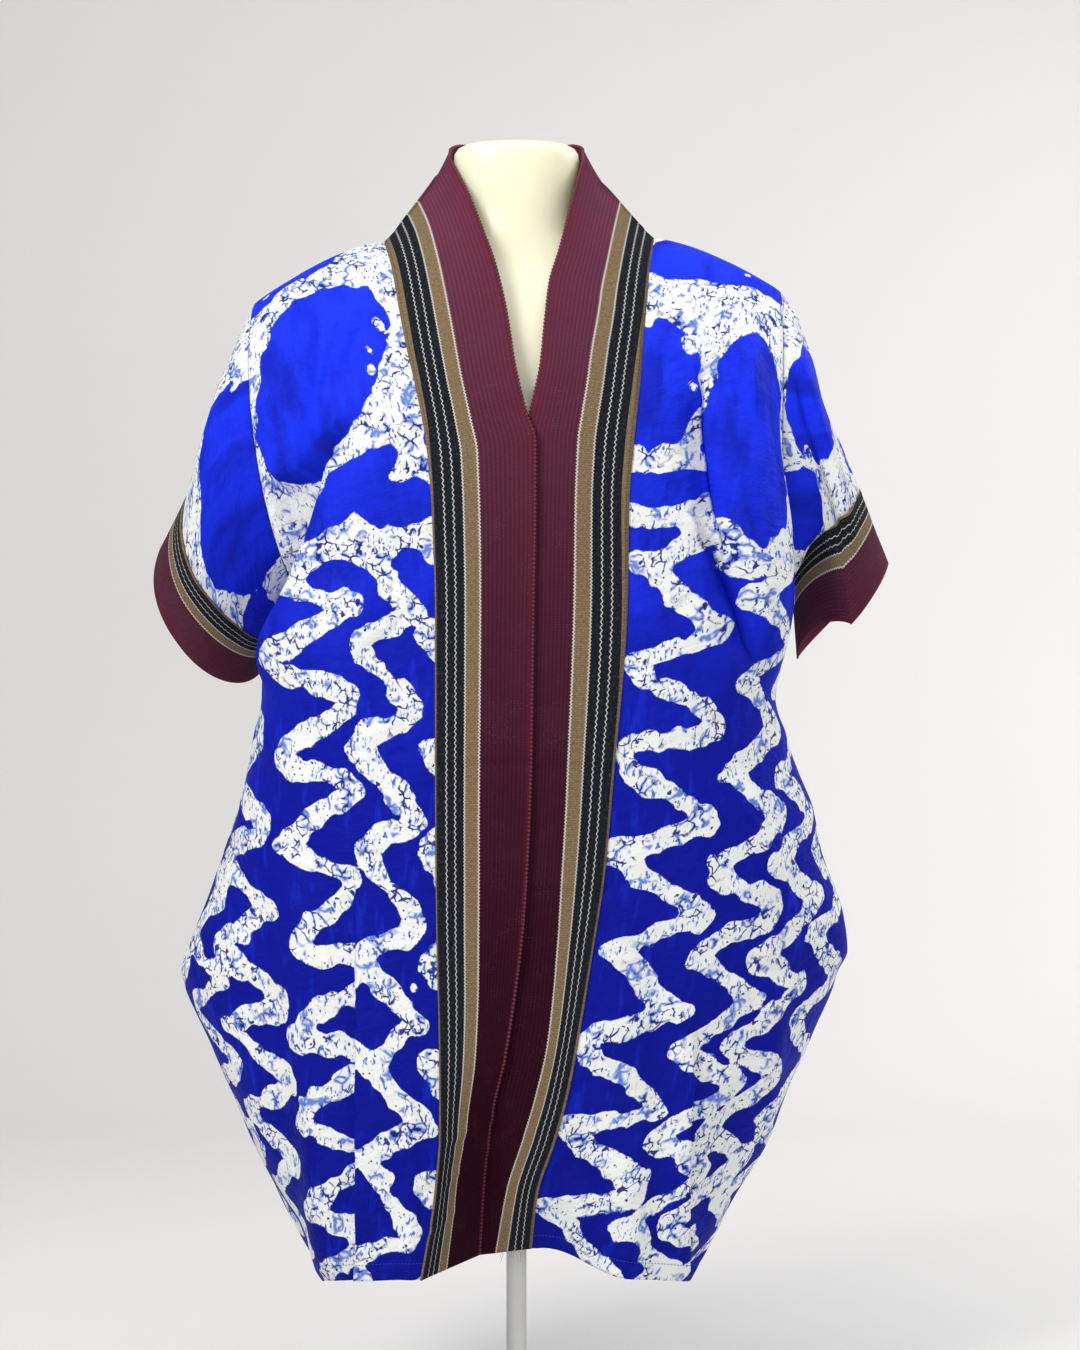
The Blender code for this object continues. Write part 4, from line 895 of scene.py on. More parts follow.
def back_row_below(share_up):
    """A dense row of the back from the right side seam round to the left one."""
    height = HEM_HEIGHT + (ARMPIT_HEIGHT - HEM_HEIGHT) * share_up
    share = np.linspace(-1, 1, SAMPLES * 2 + 1)
    out, behind = section(column(LEVELS, "back_corner", "height", height), np.abs(share))
    right = column(LEVELS, "right_side", "height", height)
    left = column(LEVELS, "left_side", "height", height)
    x = np.where(share < 0, -right, left) * out * np.sign(share)
    return points(x, column(LEVELS, "back", "height", height) * behind, height)


def behind_column(band, name, out):
    """One column of a band behind the neck, read by how far its seam is from the middle."""
    stations = [station for station in reversed(band) if station.out_y >= 0]
    return through([abs(s.out_x) for s in stations], [getattr(s, name) for s in stations], out)


def neck_half_width(band):
    """How far from the middle a band's seam is where it passes the shoulder."""
    return max(abs(station.out_x) for station in band if station.out_y >= 0)


def back_top():
    """The top edge of the back, densely: shoulder seam, neckline, shoulder seam."""
    halves = []
    for band, armhole in ((RIGHT_BAND, RIGHT_ARMHOLE), (LEFT_BAND, LEFT_ARMHOLE)):
        out = np.linspace(0, neck_half_width(band), SAMPLES // 2, endpoint=False)
        neckline = points(*(behind_column(band, name, out) for name in ("out_x", "out_y", "out_z")))
        shoulder = shoulder_line(band, armhole, np.linspace(0, 1, SAMPLES + 1 - SAMPLES // 2))
        halves.append(np.concatenate([neckline, shoulder]))
    return np.concatenate([halves[0][::-1], halves[1][1:]])


def back_row_above(share_up):
    """A dense row of the back between the armpits (0) and its top edge (1)."""
    bottom = back_row_below(1.0)
    share = np.linspace(-1, 1, len(bottom))
    row = rolled(bottom, back_top(), share_up)
    angle = np.array(math.pi * (1 + share_up))
    row += (ring_points(RIGHT_ARMHOLE, angle) - row[0]) * (np.clip(-share, 0, 1) ** 3)[:, None]
    row += (ring_points(LEFT_ARMHOLE, angle) - row[-1]) * (np.clip(share, 0, 1) ** 3)[:, None]
    return row


def back_grid():
    """The plain and the folded outer skin of the back: rows from hem to top, columns from the right."""
    share = np.linspace(0, 1, SAMPLES * 2 + 1)
    seams = smooth_step(share / BACK_SIDE_HOLDS) * smooth_step((1 - share) / BACK_SIDE_HOLDS)
    rows = [(back_row_below(s), 1.0) for s in np.linspace(0, 1, ROWS_BELOW, endpoint=False)]
    for s in np.linspace(0, 1, ROWS_ABOVE):
        rows.append((back_row_above(s), 1 - smooth_step((s - BACK_HOLDS_FROM) / BACK_HOLDS_OVER)))
    spread = [spread_evenly(row, seams * hold, BACK_COLUMNS) for row, hold in rows]
    plain, holds = (np.array(values) for values in zip(*spread))
    lift = fold_lift(plain[..., 0], plain[..., 2], BACK_FOLDS) * holds
    return plain, plain + outward_of(plain, -1) * lift[..., None]


back_plain, back_folded = back_grid()
back_across, back_along = cloth_measures(back_plain)
back_across -= back_across.mean(axis=1, keepdims=True)
back_edges = np.minimum(back_across - back_across[:, :1], back_across[:, -1:] - back_across)
back_lift = BACK_SWELL * bumps(back_across, back_along, BACK_SWELL_SIZE, 300)
back_lift += BACK_RIPPLE * bumps(back_across, back_along, BACK_RIPPLE_SIZE, 303)
back_lift *= smooth_step(back_edges / SIDE_EASE)
back_lift *= smooth_step((len(back_plain) - 1 - np.arange(len(back_plain))) / SHOULDER_EASE_ROWS)[:, None]
back_lift += seam_dip(back_edges) + hem_ridge(back_along - back_along[:1])
back_resist = resist_print(back_across, back_along, BACK_MEANDERS, BACK_OVALS, BACK_DROPS, BACK_YOKE, 300)
back_skin = settle(back_folded, -1, back_lift)
back = sew("back_cotton", back_skin, back_across, back_along, -1, COTTON_THICKNESS, cotton,
           "robe_back", back_resist)

# ---- The sleeves -------------------------------------------------------------------------------------
# Short wide tubes of the cotton, each with one seam under the arm, set into the dropped armholes. They
# hang empty, so their fronts fall flat and a few creases run down from the shoulder end.

SLEEVE_ROWS = 58
TUBE_COLUMNS = 2 * (ROWS_ABOVE - 1)
SLEEVE_SWELL, SLEEVE_SWELL_SIZE = 1.0, 42
SLEEVE_RIPPLE, SLEEVE_RIPPLE_SIZE = 0.4, 17
CREASE_FADE_IN, CREASE_FADE_OUT = 0.35, 0.3
ARMHOLE_EASE_SHARE, SLEEVE_SEAM_EASE = 0.12, 10
NO_YOKE = -100
RIGHT_SLEEVE = (
    RIGHT_ARMHOLE,
    Ring((-255.2, 0, 882), (-249, -71, 780), (-208, 2, 671), (-236, 76, 788), 2.0, 0),
    Ring((-272.5, 0, 829), (-266, -66, 750), (-217, 12, 655), (-247, 81, 768), 1.9, 0),
    Ring((-293, 1, 758.8), (-286, -44, 684), (-230, 34, 628), (-256, 86, 722), 1.7, 0),
)
LEFT_SLEEVE = (
    LEFT_ARMHOLE,
    Ring((247.5, 0, 924), (243, -72, 794), (239, 1, 677), (233, 73, 798), 2.1, 0),
    Ring((260.5, 0, 890), (253, -70, 785), (243, 3, 678), (240, 77, 788), 2.0, 0),
    Ring((273.6, 0, 842), (268, -64, 765), (248, 13, 683), (252, 82, 770), 1.9, 0),
    Ring((308.2, 0, 761.5), (283, -50, 727), (251, 36, 690), (276, 86, 726), 1.7, 8),
)

# Creases on a sleeve, from the armhole (0) past the cuff seam (1): round is 0 under the arm, 0.25 at the
# front, 0.5 on top and 0.75 at the back.
Crease = namedtuple("Crease", "round_start from_armhole round_end to_armhole depth reach_front reach_back")
RIGHT_SLEEVE_CREASES = (
    Crease(0.31, 0.1, 0.27, 1.0, -2.6, 0.020, 0.030), Crease(0.38, 0.05, 0.34, 0.9, 2.2, 0.03, 0.016),
    Crease(0.20, 0.2, 0.22, 1.1, 2.6, 0.014, 0.03), Crease(0.44, 0.1, 0.46, 0.9, -1.6, 0.02, 0.02),
    Crease(0.70, 0.1, 0.72, 1.1, -3.0, 0.025, 0.04), Crease(0.80, 0.2, 0.78, 1.0, 2.6, 0.03, 0.02),
    Crease(0.60, 0.1, 0.62, 0.8, 1.8, 0.02, 0.03), Crease(0.10, 0.3, 0.11, 1.2, -2.0, 0.02, 0.02),
)
LEFT_SLEEVE_CREASES = (
    Crease(0.37, 0.05, 0.288, 1.3, 4.5, 0.012, 0.04), Crease(0.33, 0.1, 0.255, 1.3, -6.0, 0.026, 0.014),
    Crease(0.22, 0.2, 0.20, 1.2, 3.0, 0.02, 0.02), Crease(0.42, 0.15, 0.44, 1.0, -1.8, 0.02, 0.02),
    Crease(0.72, 0.1, 0.70, 1.1, -3.0, 0.03, 0.025), Crease(0.82, 0.2, 0.80, 1.0, 2.4, 0.02, 0.03),
    Crease(0.58, 0.15, 0.60, 0.9, 1.6, 0.03, 0.02), Crease(0.12, 0.2, 0.14, 0.9, -1.8, 0.02, 0.016),
)
RIGHT_SLEEVE_OVALS = (
    Oval(132, 26, 88, 78, 14), Oval(262, 100, 44, 56, 12), Oval(346, 46, 50, 44, -10),
    Oval(452, 80, 46, 48, 8), Oval(540, 30, 34, 30, 0), Oval(24, 60, 26, 30, 0),
)
LEFT_SLEEVE_OVALS = (
    Oval(196, 52, 58, 50, 8), Oval(96, 20, 40, 32, -20), Oval(176, 154, 26, 22, 0),
    Oval(290, 110, 36, 50, 10), Oval(370, 50, 50, 44, -8), Oval(470, 84, 44, 46, 10),
    Oval(560, 30, 36, 30, 0),
)
RIGHT_SLEEVE_DROPS = (Oval(214, 20, 4, 8, 15), Oval(190, 96, 5, 7, 0), Oval(430, 60, 5, 8, 0))
LEFT_SLEEVE_DROPS = (Oval(172, 160, 3, 8, 20), Oval(150, 30, 4, 7, 20), Oval(380, 60, 5, 8, 20))


def tube(rings, rows):
    """Rows along a tube, with columns from its seam underneath, round the front, top and back."""
    angles = np.linspace(math.pi, -math.pi, TUBE_COLUMNS + 1)
    places = np.linspace(0, 1, len(rings))
    stack = np.stack([ring_points(ring, angles) for ring in rings]).reshape(len(rings), -1)
    at = np.linspace(0, 1, rows)
    read = np.array([through(places, stack[:, i], at) for i in range(stack.shape[1])])
    return read.T.reshape(rows, len(angles), 3)


def crease_lift(share, creases):
    """How far the creases lift a tube's points, at a share of the sleeve's length from its armhole."""
    rounds = np.linspace(0, 1, TUBE_COLUMNS + 1)[None, :]
    share = share[:, None]
    lift = np.zeros((len(share), TUBE_COLUMNS + 1))
    for crease in creases:
        run = np.clip((share - crease.from_armhole) / (crease.to_armhole - crease.from_armhole), 0, 1)
        off = rounds - (crease.round_start + (crease.round_end - crease.round_start) * run)
        reach = np.where(off < 0, crease.reach_front, crease.reach_back)
        ridge = crease.depth * np.exp(-((off / reach) ** 2))
        lift += ridge * smooth_step(run / CREASE_FADE_IN) * smooth_step((1 - run) / CREASE_FADE_OUT)
    return lift


def tube_measures(skin):
    """Round a tube from its seam, and down it from its first row."""
    across, down = np.zeros(skin.shape[:2]), np.zeros(skin.shape[:2])
    across[:, 1:] = np.cumsum(np.linalg.norm(np.diff(skin, axis=1), axis=2), axis=1)
    down[1:] = np.cumsum(np.linalg.norm(np.diff(skin, axis=0), axis=2), axis=0)
    return across, down


def make_sleeve(name, node, rings, creases, ovals, drops, side, seed):
    """One sleeve from its armhole to its cuff seam."""
    plain = tube(rings, SLEEVE_ROWS)
    across, down = tube_measures(plain)
    share = np.linspace(0, 1, SLEEVE_ROWS)
    from_seam = np.minimum(across, across[:, -1:] - across)
    lift = crease_lift(share, creases)
    lift += SLEEVE_SWELL * bumps(across, down, SLEEVE_SWELL_SIZE, seed)
    lift += SLEEVE_RIPPLE * bumps(across, down, SLEEVE_RIPPLE_SIZE, seed + 3)
    lift *= smooth_step(share / ARMHOLE_EASE_SHARE)[:, None] * smooth_step(from_seam / SLEEVE_SEAM_EASE)
    ends = np.minimum(down, down[-1:] - down)
    resist = resist_print(across, down, (), ovals, drops, NO_YOKE, seed)
    skin = settle(plain, -side, lift + seam_dip(ends) + seam_dip(from_seam))
    return sew(name, skin, across, down, -side, COTTON_THICKNESS, cotton, node, resist)


sleeve_right = make_sleeve("sleeve_right_cotton", "sleeve_right", RIGHT_SLEEVE, RIGHT_SLEEVE_CREASES,
                           RIGHT_SLEEVE_OVALS, RIGHT_SLEEVE_DROPS, -1, 400)
sleeve_left = make_sleeve("sleeve_left_cotton", "sleeve_left", LEFT_SLEEVE, LEFT_SLEEVE_CREASES,
                          LEFT_SLEEVE_OVALS, LEFT_SLEEVE_DROPS, 1, 500)

# ---- The woven bands ---------------------------------------------------------------------------------
# A hand-woven strip down each front edge and round the neck to a seam at the nape: black with two white
# pinstripes, a ribbed tan stripe between white lines, and maroon out to a brighter selvage.

WOVEN_THICKNESS = 1.6
BAND_COLUMNS = 29
NECK_ROWS = 52
BAND_LAPS_OVER = 1.6
BAND_STANDS, BAND_FLATTENS_OVER = 0.9, 12
BAND_CREASE_FADE = 0.15
BAND_SWELL, BAND_SWELL_SIZE, BAND_SEED = 0.5, 38, 600
BAND_MIDDLE = 0.4
BLACK_WIDTH, MAROON_STARTS, STRIP_WIDTH = 25.0, 40.0, 84.0
PIN_MM = (8.2, 16.6)
WHITE_LINE_MM = (25.6, 39.3)
PIN_HALF, TAN_LINE_HALF, MAROON_LINE_HALF = 0.45, 0.6, 0.75
PIN_ZIG, RIB_PITCH, WARP_PITCH, RUNG_PITCH = 2.5, 1.0, 1.8, 0.85
DOT_ACROSS, DOT_ALONG = 1.3, 1.05

# The yarns' colours, each deeper and paler in the weave. The two maroons go from painted shade at the hem up
# to painted light at the neck.
BLACK_YARN = ((0.006, 0.008, 0.012, 1), (0.016, 0.019, 0.026, 1))
GREY_FLECK = (0.16, 0.16, 0.16, 1)
TAN_YARN = ((0.15, 0.098, 0.052, 1), (0.27, 0.195, 0.108, 1))
TAN_GAP = (0.058, 0.036, 0.018, 1)
CHALK_YARN = ((0.42, 0.40, 0.37, 1), (0.66, 0.64, 0.60, 1))
MAROON_GROOVES = ((0.011, 0.0012, 0.004, 1), (0.072, 0.017, 0.029, 1))
MAROON_RIDGES = ((0.030, 0.0030, 0.011, 1), (0.168, 0.042, 0.080, 1))
SELVAGE_RED = (0.15, 0.012, 0.032, 1)
REDDER_MAROON = (0.125, 0.016, 0.036, 1)
PLUM = (0.088, 0.026, 0.058, 1)
PICKED_THREAD = (0.40, 0.22, 0.27, 1)

# How wide the tan edge beyond the black is, and how far across the band the maroon starts, hem to nape.
Stripe = namedtuple("Stripe", "height tan_edge maroon_share")
RIGHT_STRIPES = (
    Stripe(80, 0.8, 0.42), Stripe(150, 0.8, 0.42), Stripe(213, 0.8, 0.51), Stripe(262, 0.8, 0.53),
    Stripe(392, 0.8, 0.48), Stripe(512, 0.9, 0.46), Stripe(700, 1.0, 0.46), Stripe(770, 1.8, 0.46),
    Stripe(842, 3.6, 0.46), Stripe(919, 5.5, 0.47), Stripe(985, 4.5, 0.5),
)
LEFT_STRIPES = (
    Stripe(94, 1.5, 0.58), Stripe(146, 1.5, 0.48), Stripe(197, 1.5, 0.41), Stripe(277, 1.6, 0.36),
    Stripe(360, 1.2, 0.41), Stripe(425, 1.2, 0.47), Stripe(540, 1.5, 0.5), Stripe(660, 3.4, 0.51),
    Stripe(730, 5.0, 0.51), Stripe(790, 6.0, 0.51), Stripe(843, 5.2, 0.52), Stripe(917, 1.8, 0.47),
    Stripe(988, 1.0, 0.47),
)
BandCrease = namedtuple("BandCrease", "height depth half_height slant share_start share_end")
RIGHT_BAND_CREASES = (
    BandCrease(524, 1.2, 3.5, 0.02, 0, 1), BandCrease(517, -1.0, 3, 0.02, 0, 1),
    BandCrease(300, 0.7, 3, -0.1, 0, 0.7), BandCrease(196, 1.1, 4, 0.25, 0.1, 1),
    BandCrease(186, -0.9, 3, 0.25, 0.3, 1), BandCrease(154, 1.0, 3, 0.5, 0.2, 1),
    BandCrease(122, 0.9, 4, 0.4, 0, 0.8), BandCrease(660, 0.5, 4, -0.05, 0.2, 1),
)
LEFT_BAND_CREASES = (
    BandCrease(523, 1.2, 3.5, 0.0, 0, 1), BandCrease(516, -1.1, 3, 0.0, 0, 1),
    BandCrease(416, 1.2, 3.5, 0.05, 0, 1), BandCrease(408, -1.2, 3, 0.05, 0, 1),
    BandCrease(252, 1.0, 4, -0.35, 0, 1), BandCrease(214, 1.0, 4, -0.5, 0, 0.9),
    BandCrease(168, 0.9, 4, -0.6, 0, 0.9), BandCrease(905, 0.6, 4, 0.1, 0.2, 0.9),
    BandCrease(330, 0.7, 4, 0.1, 0.2, 1),
)


def woven_strip(name, lace, painted_light_span):
    """Striped strip weaving, read from how far across the strip and how far along it each point is; its
    maroon goes from painted shade to painted light along it.
    """
    made, tree, shader, where = cloth_material(name, 0.8, 0.04, 0.01)
    split = add(tree, "SeparateXYZ", {0: where})
    x = sums(tree, "MULTIPLY", split.outputs[0], 1000.0)
    y = sums(tree, "MULTIPLY", split.outputs[1], 1000.0)
    fuzz = grain(tree, where, 500, 3)

    zig = sums(tree, "MULTIPLY_ADD", sums(tree, "PINGPONG", y, PIN_ZIG), 0.64, -0.8)
    zagged = sums(tree, "ADD", x, zig)
    scallop = sums(tree, "MULTIPLY", sums(tree, "SINE", sums(tree, "MULTIPLY", y, 2.1)), 0.5)
    waved = sums(tree, "ADD", x, scallop)

    def line(at, measure, half):
        """A thin stripe at one measure across the strip."""
        off = sums(tree, "ABSOLUTE", sums(tree, "SUBTRACT", measure, at))
        return between(tree, off, half - 0.2, half + 0.2, 1, 0)

    black = blend(tree, between(tree, fuzz, 0.35, 0.7), *BLACK_YARN)
    tan = blend(tree, between(tree, fuzz, 0.3, 0.7), *TAN_YARN)
    # Painted light: over this span along the strip the maroons go from painted shade at the hem to painted
    # light at the neck, and the redder and plum patches grow with that painted light.
    rise = sums(tree, "POWER", between(tree, y, *painted_light_span), 1.7)
    grooves = blend(tree, rise, *MAROON_GROOVES)
    warp = sums(tree, "PINGPONG", sums(tree, "ADD", x, sums(tree, "MULTIPLY", fuzz, 0.9)), WARP_PITCH)
    rungs = sums(tree, "PINGPONG", sums(tree, "ADD", y, sums(tree, "MULTIPLY", fuzz, 0.6)), RUNG_PITCH)
    ridges = between(tree, warp, 0.1, 1.3, 0.45, 1)
    grid = sums(tree, "MULTIPLY", ridges, between(tree, rungs, 0.0, 0.5, 0.35, 1.0))
    maroon = blend(tree, grid, grooves, blend(tree, rise, *MAROON_RIDGES))
    selvage = between(tree, x, STRIP_WIDTH - 3.4, STRIP_WIDTH - 1.8)
    maroon = blend(tree, sums(tree, "MULTIPLY", selvage, 0.6), maroon, SELVAGE_RED)
    redder = sums(tree, "MULTIPLY", between(tree, x, STRIP_WIDTH - 26, STRIP_WIDTH - 2, 0, 0.5), rise)
    maroon = blend(tree, redder, maroon, REDDER_MAROON)
    plum = sums(tree, "MULTIPLY", between(tree, grain(tree, where, 24, 3), 0.48, 0.62, 0, 0.45), rise)
    maroon = blend(tree, plum, maroon, PLUM)

    dots_x = sums(tree, "PINGPONG", x, DOT_ACROSS)
    dots_y = sums(tree, "PINGPONG", y, DOT_ALONG)
    dots = sums(tree, "MULTIPLY", between(tree, dots_x, 0.85, 1.15), between(tree, dots_y, 0.6, 0.95))
    patches = between(tree, grain(tree, where, 42, 2), 0.52 - 0.1 * lace, 0.66)
    picked = between(tree, grain(tree, stretched(tree, where, (380, 480)), 1, 1), 0.45, 0.6)
    dots = sums(tree, "MULTIPLY", sums(tree, "MULTIPLY", dots, patches), picked)
    maroon = blend(tree, sums(tree, "MULTIPLY", dots, 0.2 + 0.4 * lace), maroon, PICKED_THREAD)

    ribs = sums(tree, "PINGPONG", sums(tree, "ADD", y, sums(tree, "MULTIPLY", fuzz, 0.35)), RIB_PITCH)
    gap = between(tree, ribs, 0.0, 0.32, 1, 0)
    tan = blend(tree, sums(tree, "MULTIPLY", gap, 0.65), tan, TAN_GAP)
    fleck = between(tree, grain(tree, stretched(tree, where, (620, 300)), 1, 2), 0.60, 0.68)
    black = blend(tree, sums(tree, "MULTIPLY", fleck, 0.12 + 0.3 * lace), black, GREY_FLECK)

    in_tan = sums(tree, "MULTIPLY", between(tree, x, BLACK_WIDTH - 0.1, BLACK_WIDTH + 0.1),
                  between(tree, waved, MAROON_STARTS - 0.1, MAROON_STARTS + 0.1, 1, 0))
    colour = blend(tree, between(tree, x, -0.15, 0.15), tan, black)
    colour = blend(tree, between(tree, x, MAROON_STARTS - 0.5, MAROON_STARTS - 0.3), colour, maroon)
    colour = blend(tree, in_tan, colour, tan)
    lines = sums(tree, "MAXIMUM", line(PIN_MM[0], zagged, PIN_HALF), line(PIN_MM[1], zagged, PIN_HALF))
    lines = sums(tree, "MAXIMUM", lines, line(WHITE_LINE_MM[0], waved, TAN_LINE_HALF))
    lines = sums(tree, "MAXIMUM", lines, line(WHITE_LINE_MM[1], waved, MAROON_LINE_HALF))
    colour = blend(tree, lines, colour, blend(tree, fuzz, *CHALK_YARN))
    tree.links.new(colour, shader.inputs["Base Color"])

    weft = sums(tree, "SINE", sums(tree, "MULTIPLY", y, 6.2832))
    fine = sums(tree, "ADD", sums(tree, "MULTIPLY", weft, 0.25), sums(tree, "MULTIPLY", warp, 0.6))
    height = sums(tree, "ADD", fine, sums(tree, "MULTIPLY", fuzz, 0.9))
    height = sums(tree, "ADD", height, sums(tree, "MULTIPLY", lines, 0.5))
    coarse = sums(tree, "MULTIPLY", sums(tree, "MULTIPLY", ribs, 0.9), in_tan)
    height = sums(tree, "ADD", height, coarse)
    bump = add(tree, "Bump", {"Height": height, "Strength": 0.55, "Distance": 0.0004}).outputs[0]
    tree.links.new(bump, shader.inputs["Normal"])
    return made


def stripe_measure(share, start, edge, maroon):
    """Turns a share of the way across the strip into millimetres of its own stripes."""
    on_edge = (share - start) / start * edge
    on_black = (share - start) / (maroon - start) * MAROON_STARTS
    on_maroon = MAROON_STARTS + (share - maroon) / (1 - maroon) * (STRIP_WIDTH - MAROON_STARTS)
    return np.where(share < start, on_edge, np.where(share < maroon, on_black, on_maroon))


def make_band(name, node, band, heights, stripes, creases, side):
    """One band with its outer skin, hem to nape, read at the same heights as the rows of its front."""
    outs = neck_half_width(band) * np.sin(np.linspace(math.pi / 2, 0, NECK_ROWS + 1))[1:]
    front = band_front(band)
    read = {}
    for field in Station._fields:
        up_front = column(front, field, "out_z", heights)
        read[field] = np.concatenate([up_front, behind_column(band, field, outs)])
    seam = points(read["out_x"], read["out_y"], read["out_z"])
    free = points(read["in_x"], read["in_y"], read["in_z"])
    width = np.linalg.norm(free - seam, axis=1)
    run = np.gradient((seam + free) / 2, axis=0)
    outward = np.cross(free - seam, run) * -side
    outward[-1, 0] = 0
    outward = unit(outward)[:, None, :]
    share = np.linspace(0, 1, BAND_COLUMNS)[None, :]
    crown = read["crown"][:, None] * 4 * share * (1 - share)
    lift = crown + BAND_STANDS * np.exp(-share * width[:, None] / BAND_FLATTENS_OVER)
    along = run_lengths(seam * (1 - BAND_MIDDLE) + free * BAND_MIDDLE)[:, None] + 0 * share
    at = np.minimum(read["out_z"], stripes[-1].height)
    edge = column(stripes, "tan_edge", "height", at)[:, None]
    maroon = column(stripes, "maroon_share", "height", at)[:, None]
    measure = stripe_measure(share, edge / width[:, None], edge, maroon)
    for crease in creases:
        off = (seam[:, 2:] - crease.height - crease.slant * width[:, None] * share) / crease.half_height
        inside = smooth_step((share - crease.share_start) / BAND_CREASE_FADE + 1)
        inside = inside * smooth_step((crease.share_end - share) / BAND_CREASE_FADE + 1)
        lift = lift + crease.depth * np.exp(-off ** 2) * inside
    lift = lift + BAND_SWELL * bumps(measure, along, BAND_SWELL_SIZE, BAND_SEED + side)
    skin = seam[:, None, :] + (free - seam)[:, None, :] * share[..., None] + outward * lift[..., None]
    skin[:, 0] -= unit(skin[:, 1] - skin[:, 0]) * BAND_LAPS_OVER
    skin[-1, :, 0] = 0
    made = sew(name, skin, measure, along, -side, WOVEN_THICKNESS, strip_cloth, node)
    return made, skin


def front_heights(band, side, armhole):
    """The height at which each row of a front meets its band."""
    below = [front_row_below(band, side, s)[0, 2] for s in np.linspace(0, 1, ROWS_BELOW, endpoint=False)]
    above = [front_row_above(band, armhole, side, s)[0, 2] for s in np.linspace(0, 1, ROWS_ABOVE)]
    return np.array(below + above)


# The span (120, 960) is where the bands' maroon goes from painted shade to painted light.
strip_cloth = woven_strip("woven_strip_cloth", 0.25, (120.0, 960.0))
band_right, band_right_skin = make_band(
    "band_right_strip", "band_right", RIGHT_BAND, front_heights(RIGHT_BAND, -1, RIGHT_ARMHOLE),
    RIGHT_STRIPES, RIGHT_BAND_CREASES, -1,
)
band_left, band_left_skin = make_band(
    "band_left_strip", "band_left", LEFT_BAND, front_heights(LEFT_BAND, 1, LEFT_ARMHOLE),
    LEFT_STRIPES, LEFT_BAND_CREASES, 1,
)

# ---- The cuffs ---------------------------------------------------------------------------------------
# The same strip sewn round the end of each sleeve, black to the seam and maroon to the open edge. The
# looser picked threads of this part of the strip show as rows of small pale dots.

CUFF_ROWS = 30
CUFF_STANDS = 0.7
CUFF_LAPS_OVER = 1.2
CUFF_SHARE_OF_SLEEVE = 0.4
CUFF_TAN_EDGE = 1.4
CUFF_MAROON_SHARE = 0.43
CUFF_SWELL, CUFF_SWELL_SIZE, CUFF_SEED = 0.5, 34, 700
RIGHT_CUFF = (
    RIGHT_SLEEVE[-1],
    Ring((-321, 58, 722), (-307, 10, 625), (-238, 84, 600), (-270, 122, 691), 2.3, 0),
)
LEFT_CUFF = (
    LEFT_SLEEVE[-1],
    Ring((336.5, 21, 697), (298, -30, 640), (259, 66, 610), (303, 104, 655), 1.7, 22),
)


def make_cuff(name, node, rings, creases, side):
    """One cuff from its seam to the open edge, with the sleeve's creases carried on into it."""
    plain = tube(rings, CUFF_ROWS)
    across, down = tube_measures(plain)
    share = np.linspace(0, 1, CUFF_ROWS)[:, None]
    measure = stripe_measure(share, CUFF_TAN_EDGE / STRIP_WIDTH, CUFF_TAN_EDGE, CUFF_MAROON_SHARE)
    measure = measure + 0 * across
    from_seam = np.minimum(across, across[:, -1:] - across)
    lift = crease_lift(1 + CUFF_SHARE_OF_SLEEVE * share[:, 0], creases)
    lift = lift + CUFF_SWELL * bumps(across, down, CUFF_SWELL_SIZE, CUFF_SEED + side)
    lift = lift * smooth_step(from_seam / SLEEVE_SEAM_EASE) + CUFF_STANDS + seam_dip(from_seam)
    skin = settle(plain, -side, lift)
    skin[0] -= unit(skin[1] - skin[0]) * CUFF_LAPS_OVER
    made = sew(name, skin, measure, across, -side, WOVEN_THICKNESS, cuff_cloth, node)
    return made, skin


# The cuffs' maroon sits partway between painted shade and painted light, over the span (-1300, 800).
cuff_cloth = woven_strip("woven_cuff_cloth", 1.0, (-1300.0, 800.0))
cuff_right, cuff_right_skin = make_cuff(
    "cuff_right_strip", "cuff_right", RIGHT_CUFF, RIGHT_SLEEVE_CREASES, -1,
)
cuff_left, cuff_left_skin = make_cuff(
    "cuff_left_strip", "cuff_left", LEFT_CUFF, LEFT_SLEEVE_CREASES, 1,
)

# ---- The dress form ----------------------------------------------------------------------------------
# A hollow limbless torso of glossy ivory plastic with a plain rounded neck block. It carries the whole
# robe and shows only at the neck.

FORM_COLUMNS = 96
FORM_ROWS = 150

# Level slices: half the width, the depth in front and behind, and how square the corners are.
Slice = namedtuple("Slice", "height half_width front back corner")
FORM = (
    Slice(360, 158, 92, 100, 2.2), Slice(372, 166, 98, 106, 2.2), Slice(470, 168, 102, 112, 2.2),
    Slice(560, 148, 97, 98, 2.2), Slice(640, 132, 94, 84, 2.2), Slice(740, 146, 102, 92, 2.2),
    Slice(830, 162, 104, 98, 2.2), Slice(885, 172, 92, 92, 2.1), Slice(920, 174, 76, 80, 2.0),
    Slice(944, 152, 62, 68, 2.0), Slice(962, 118, 52, 60, 2.0), Slice(976, 82, 48, 54, 2.0),
    Slice(990, 60, 46, 50, 2.0), Slice(1010, 55, 44, 47, 2.1), Slice(1058, 56.5, 46, 48, 2.2),
    Slice(1065, 54.5, 44, 46, 2.2), Slice(1069, 48, 38, 40, 2.2),
)


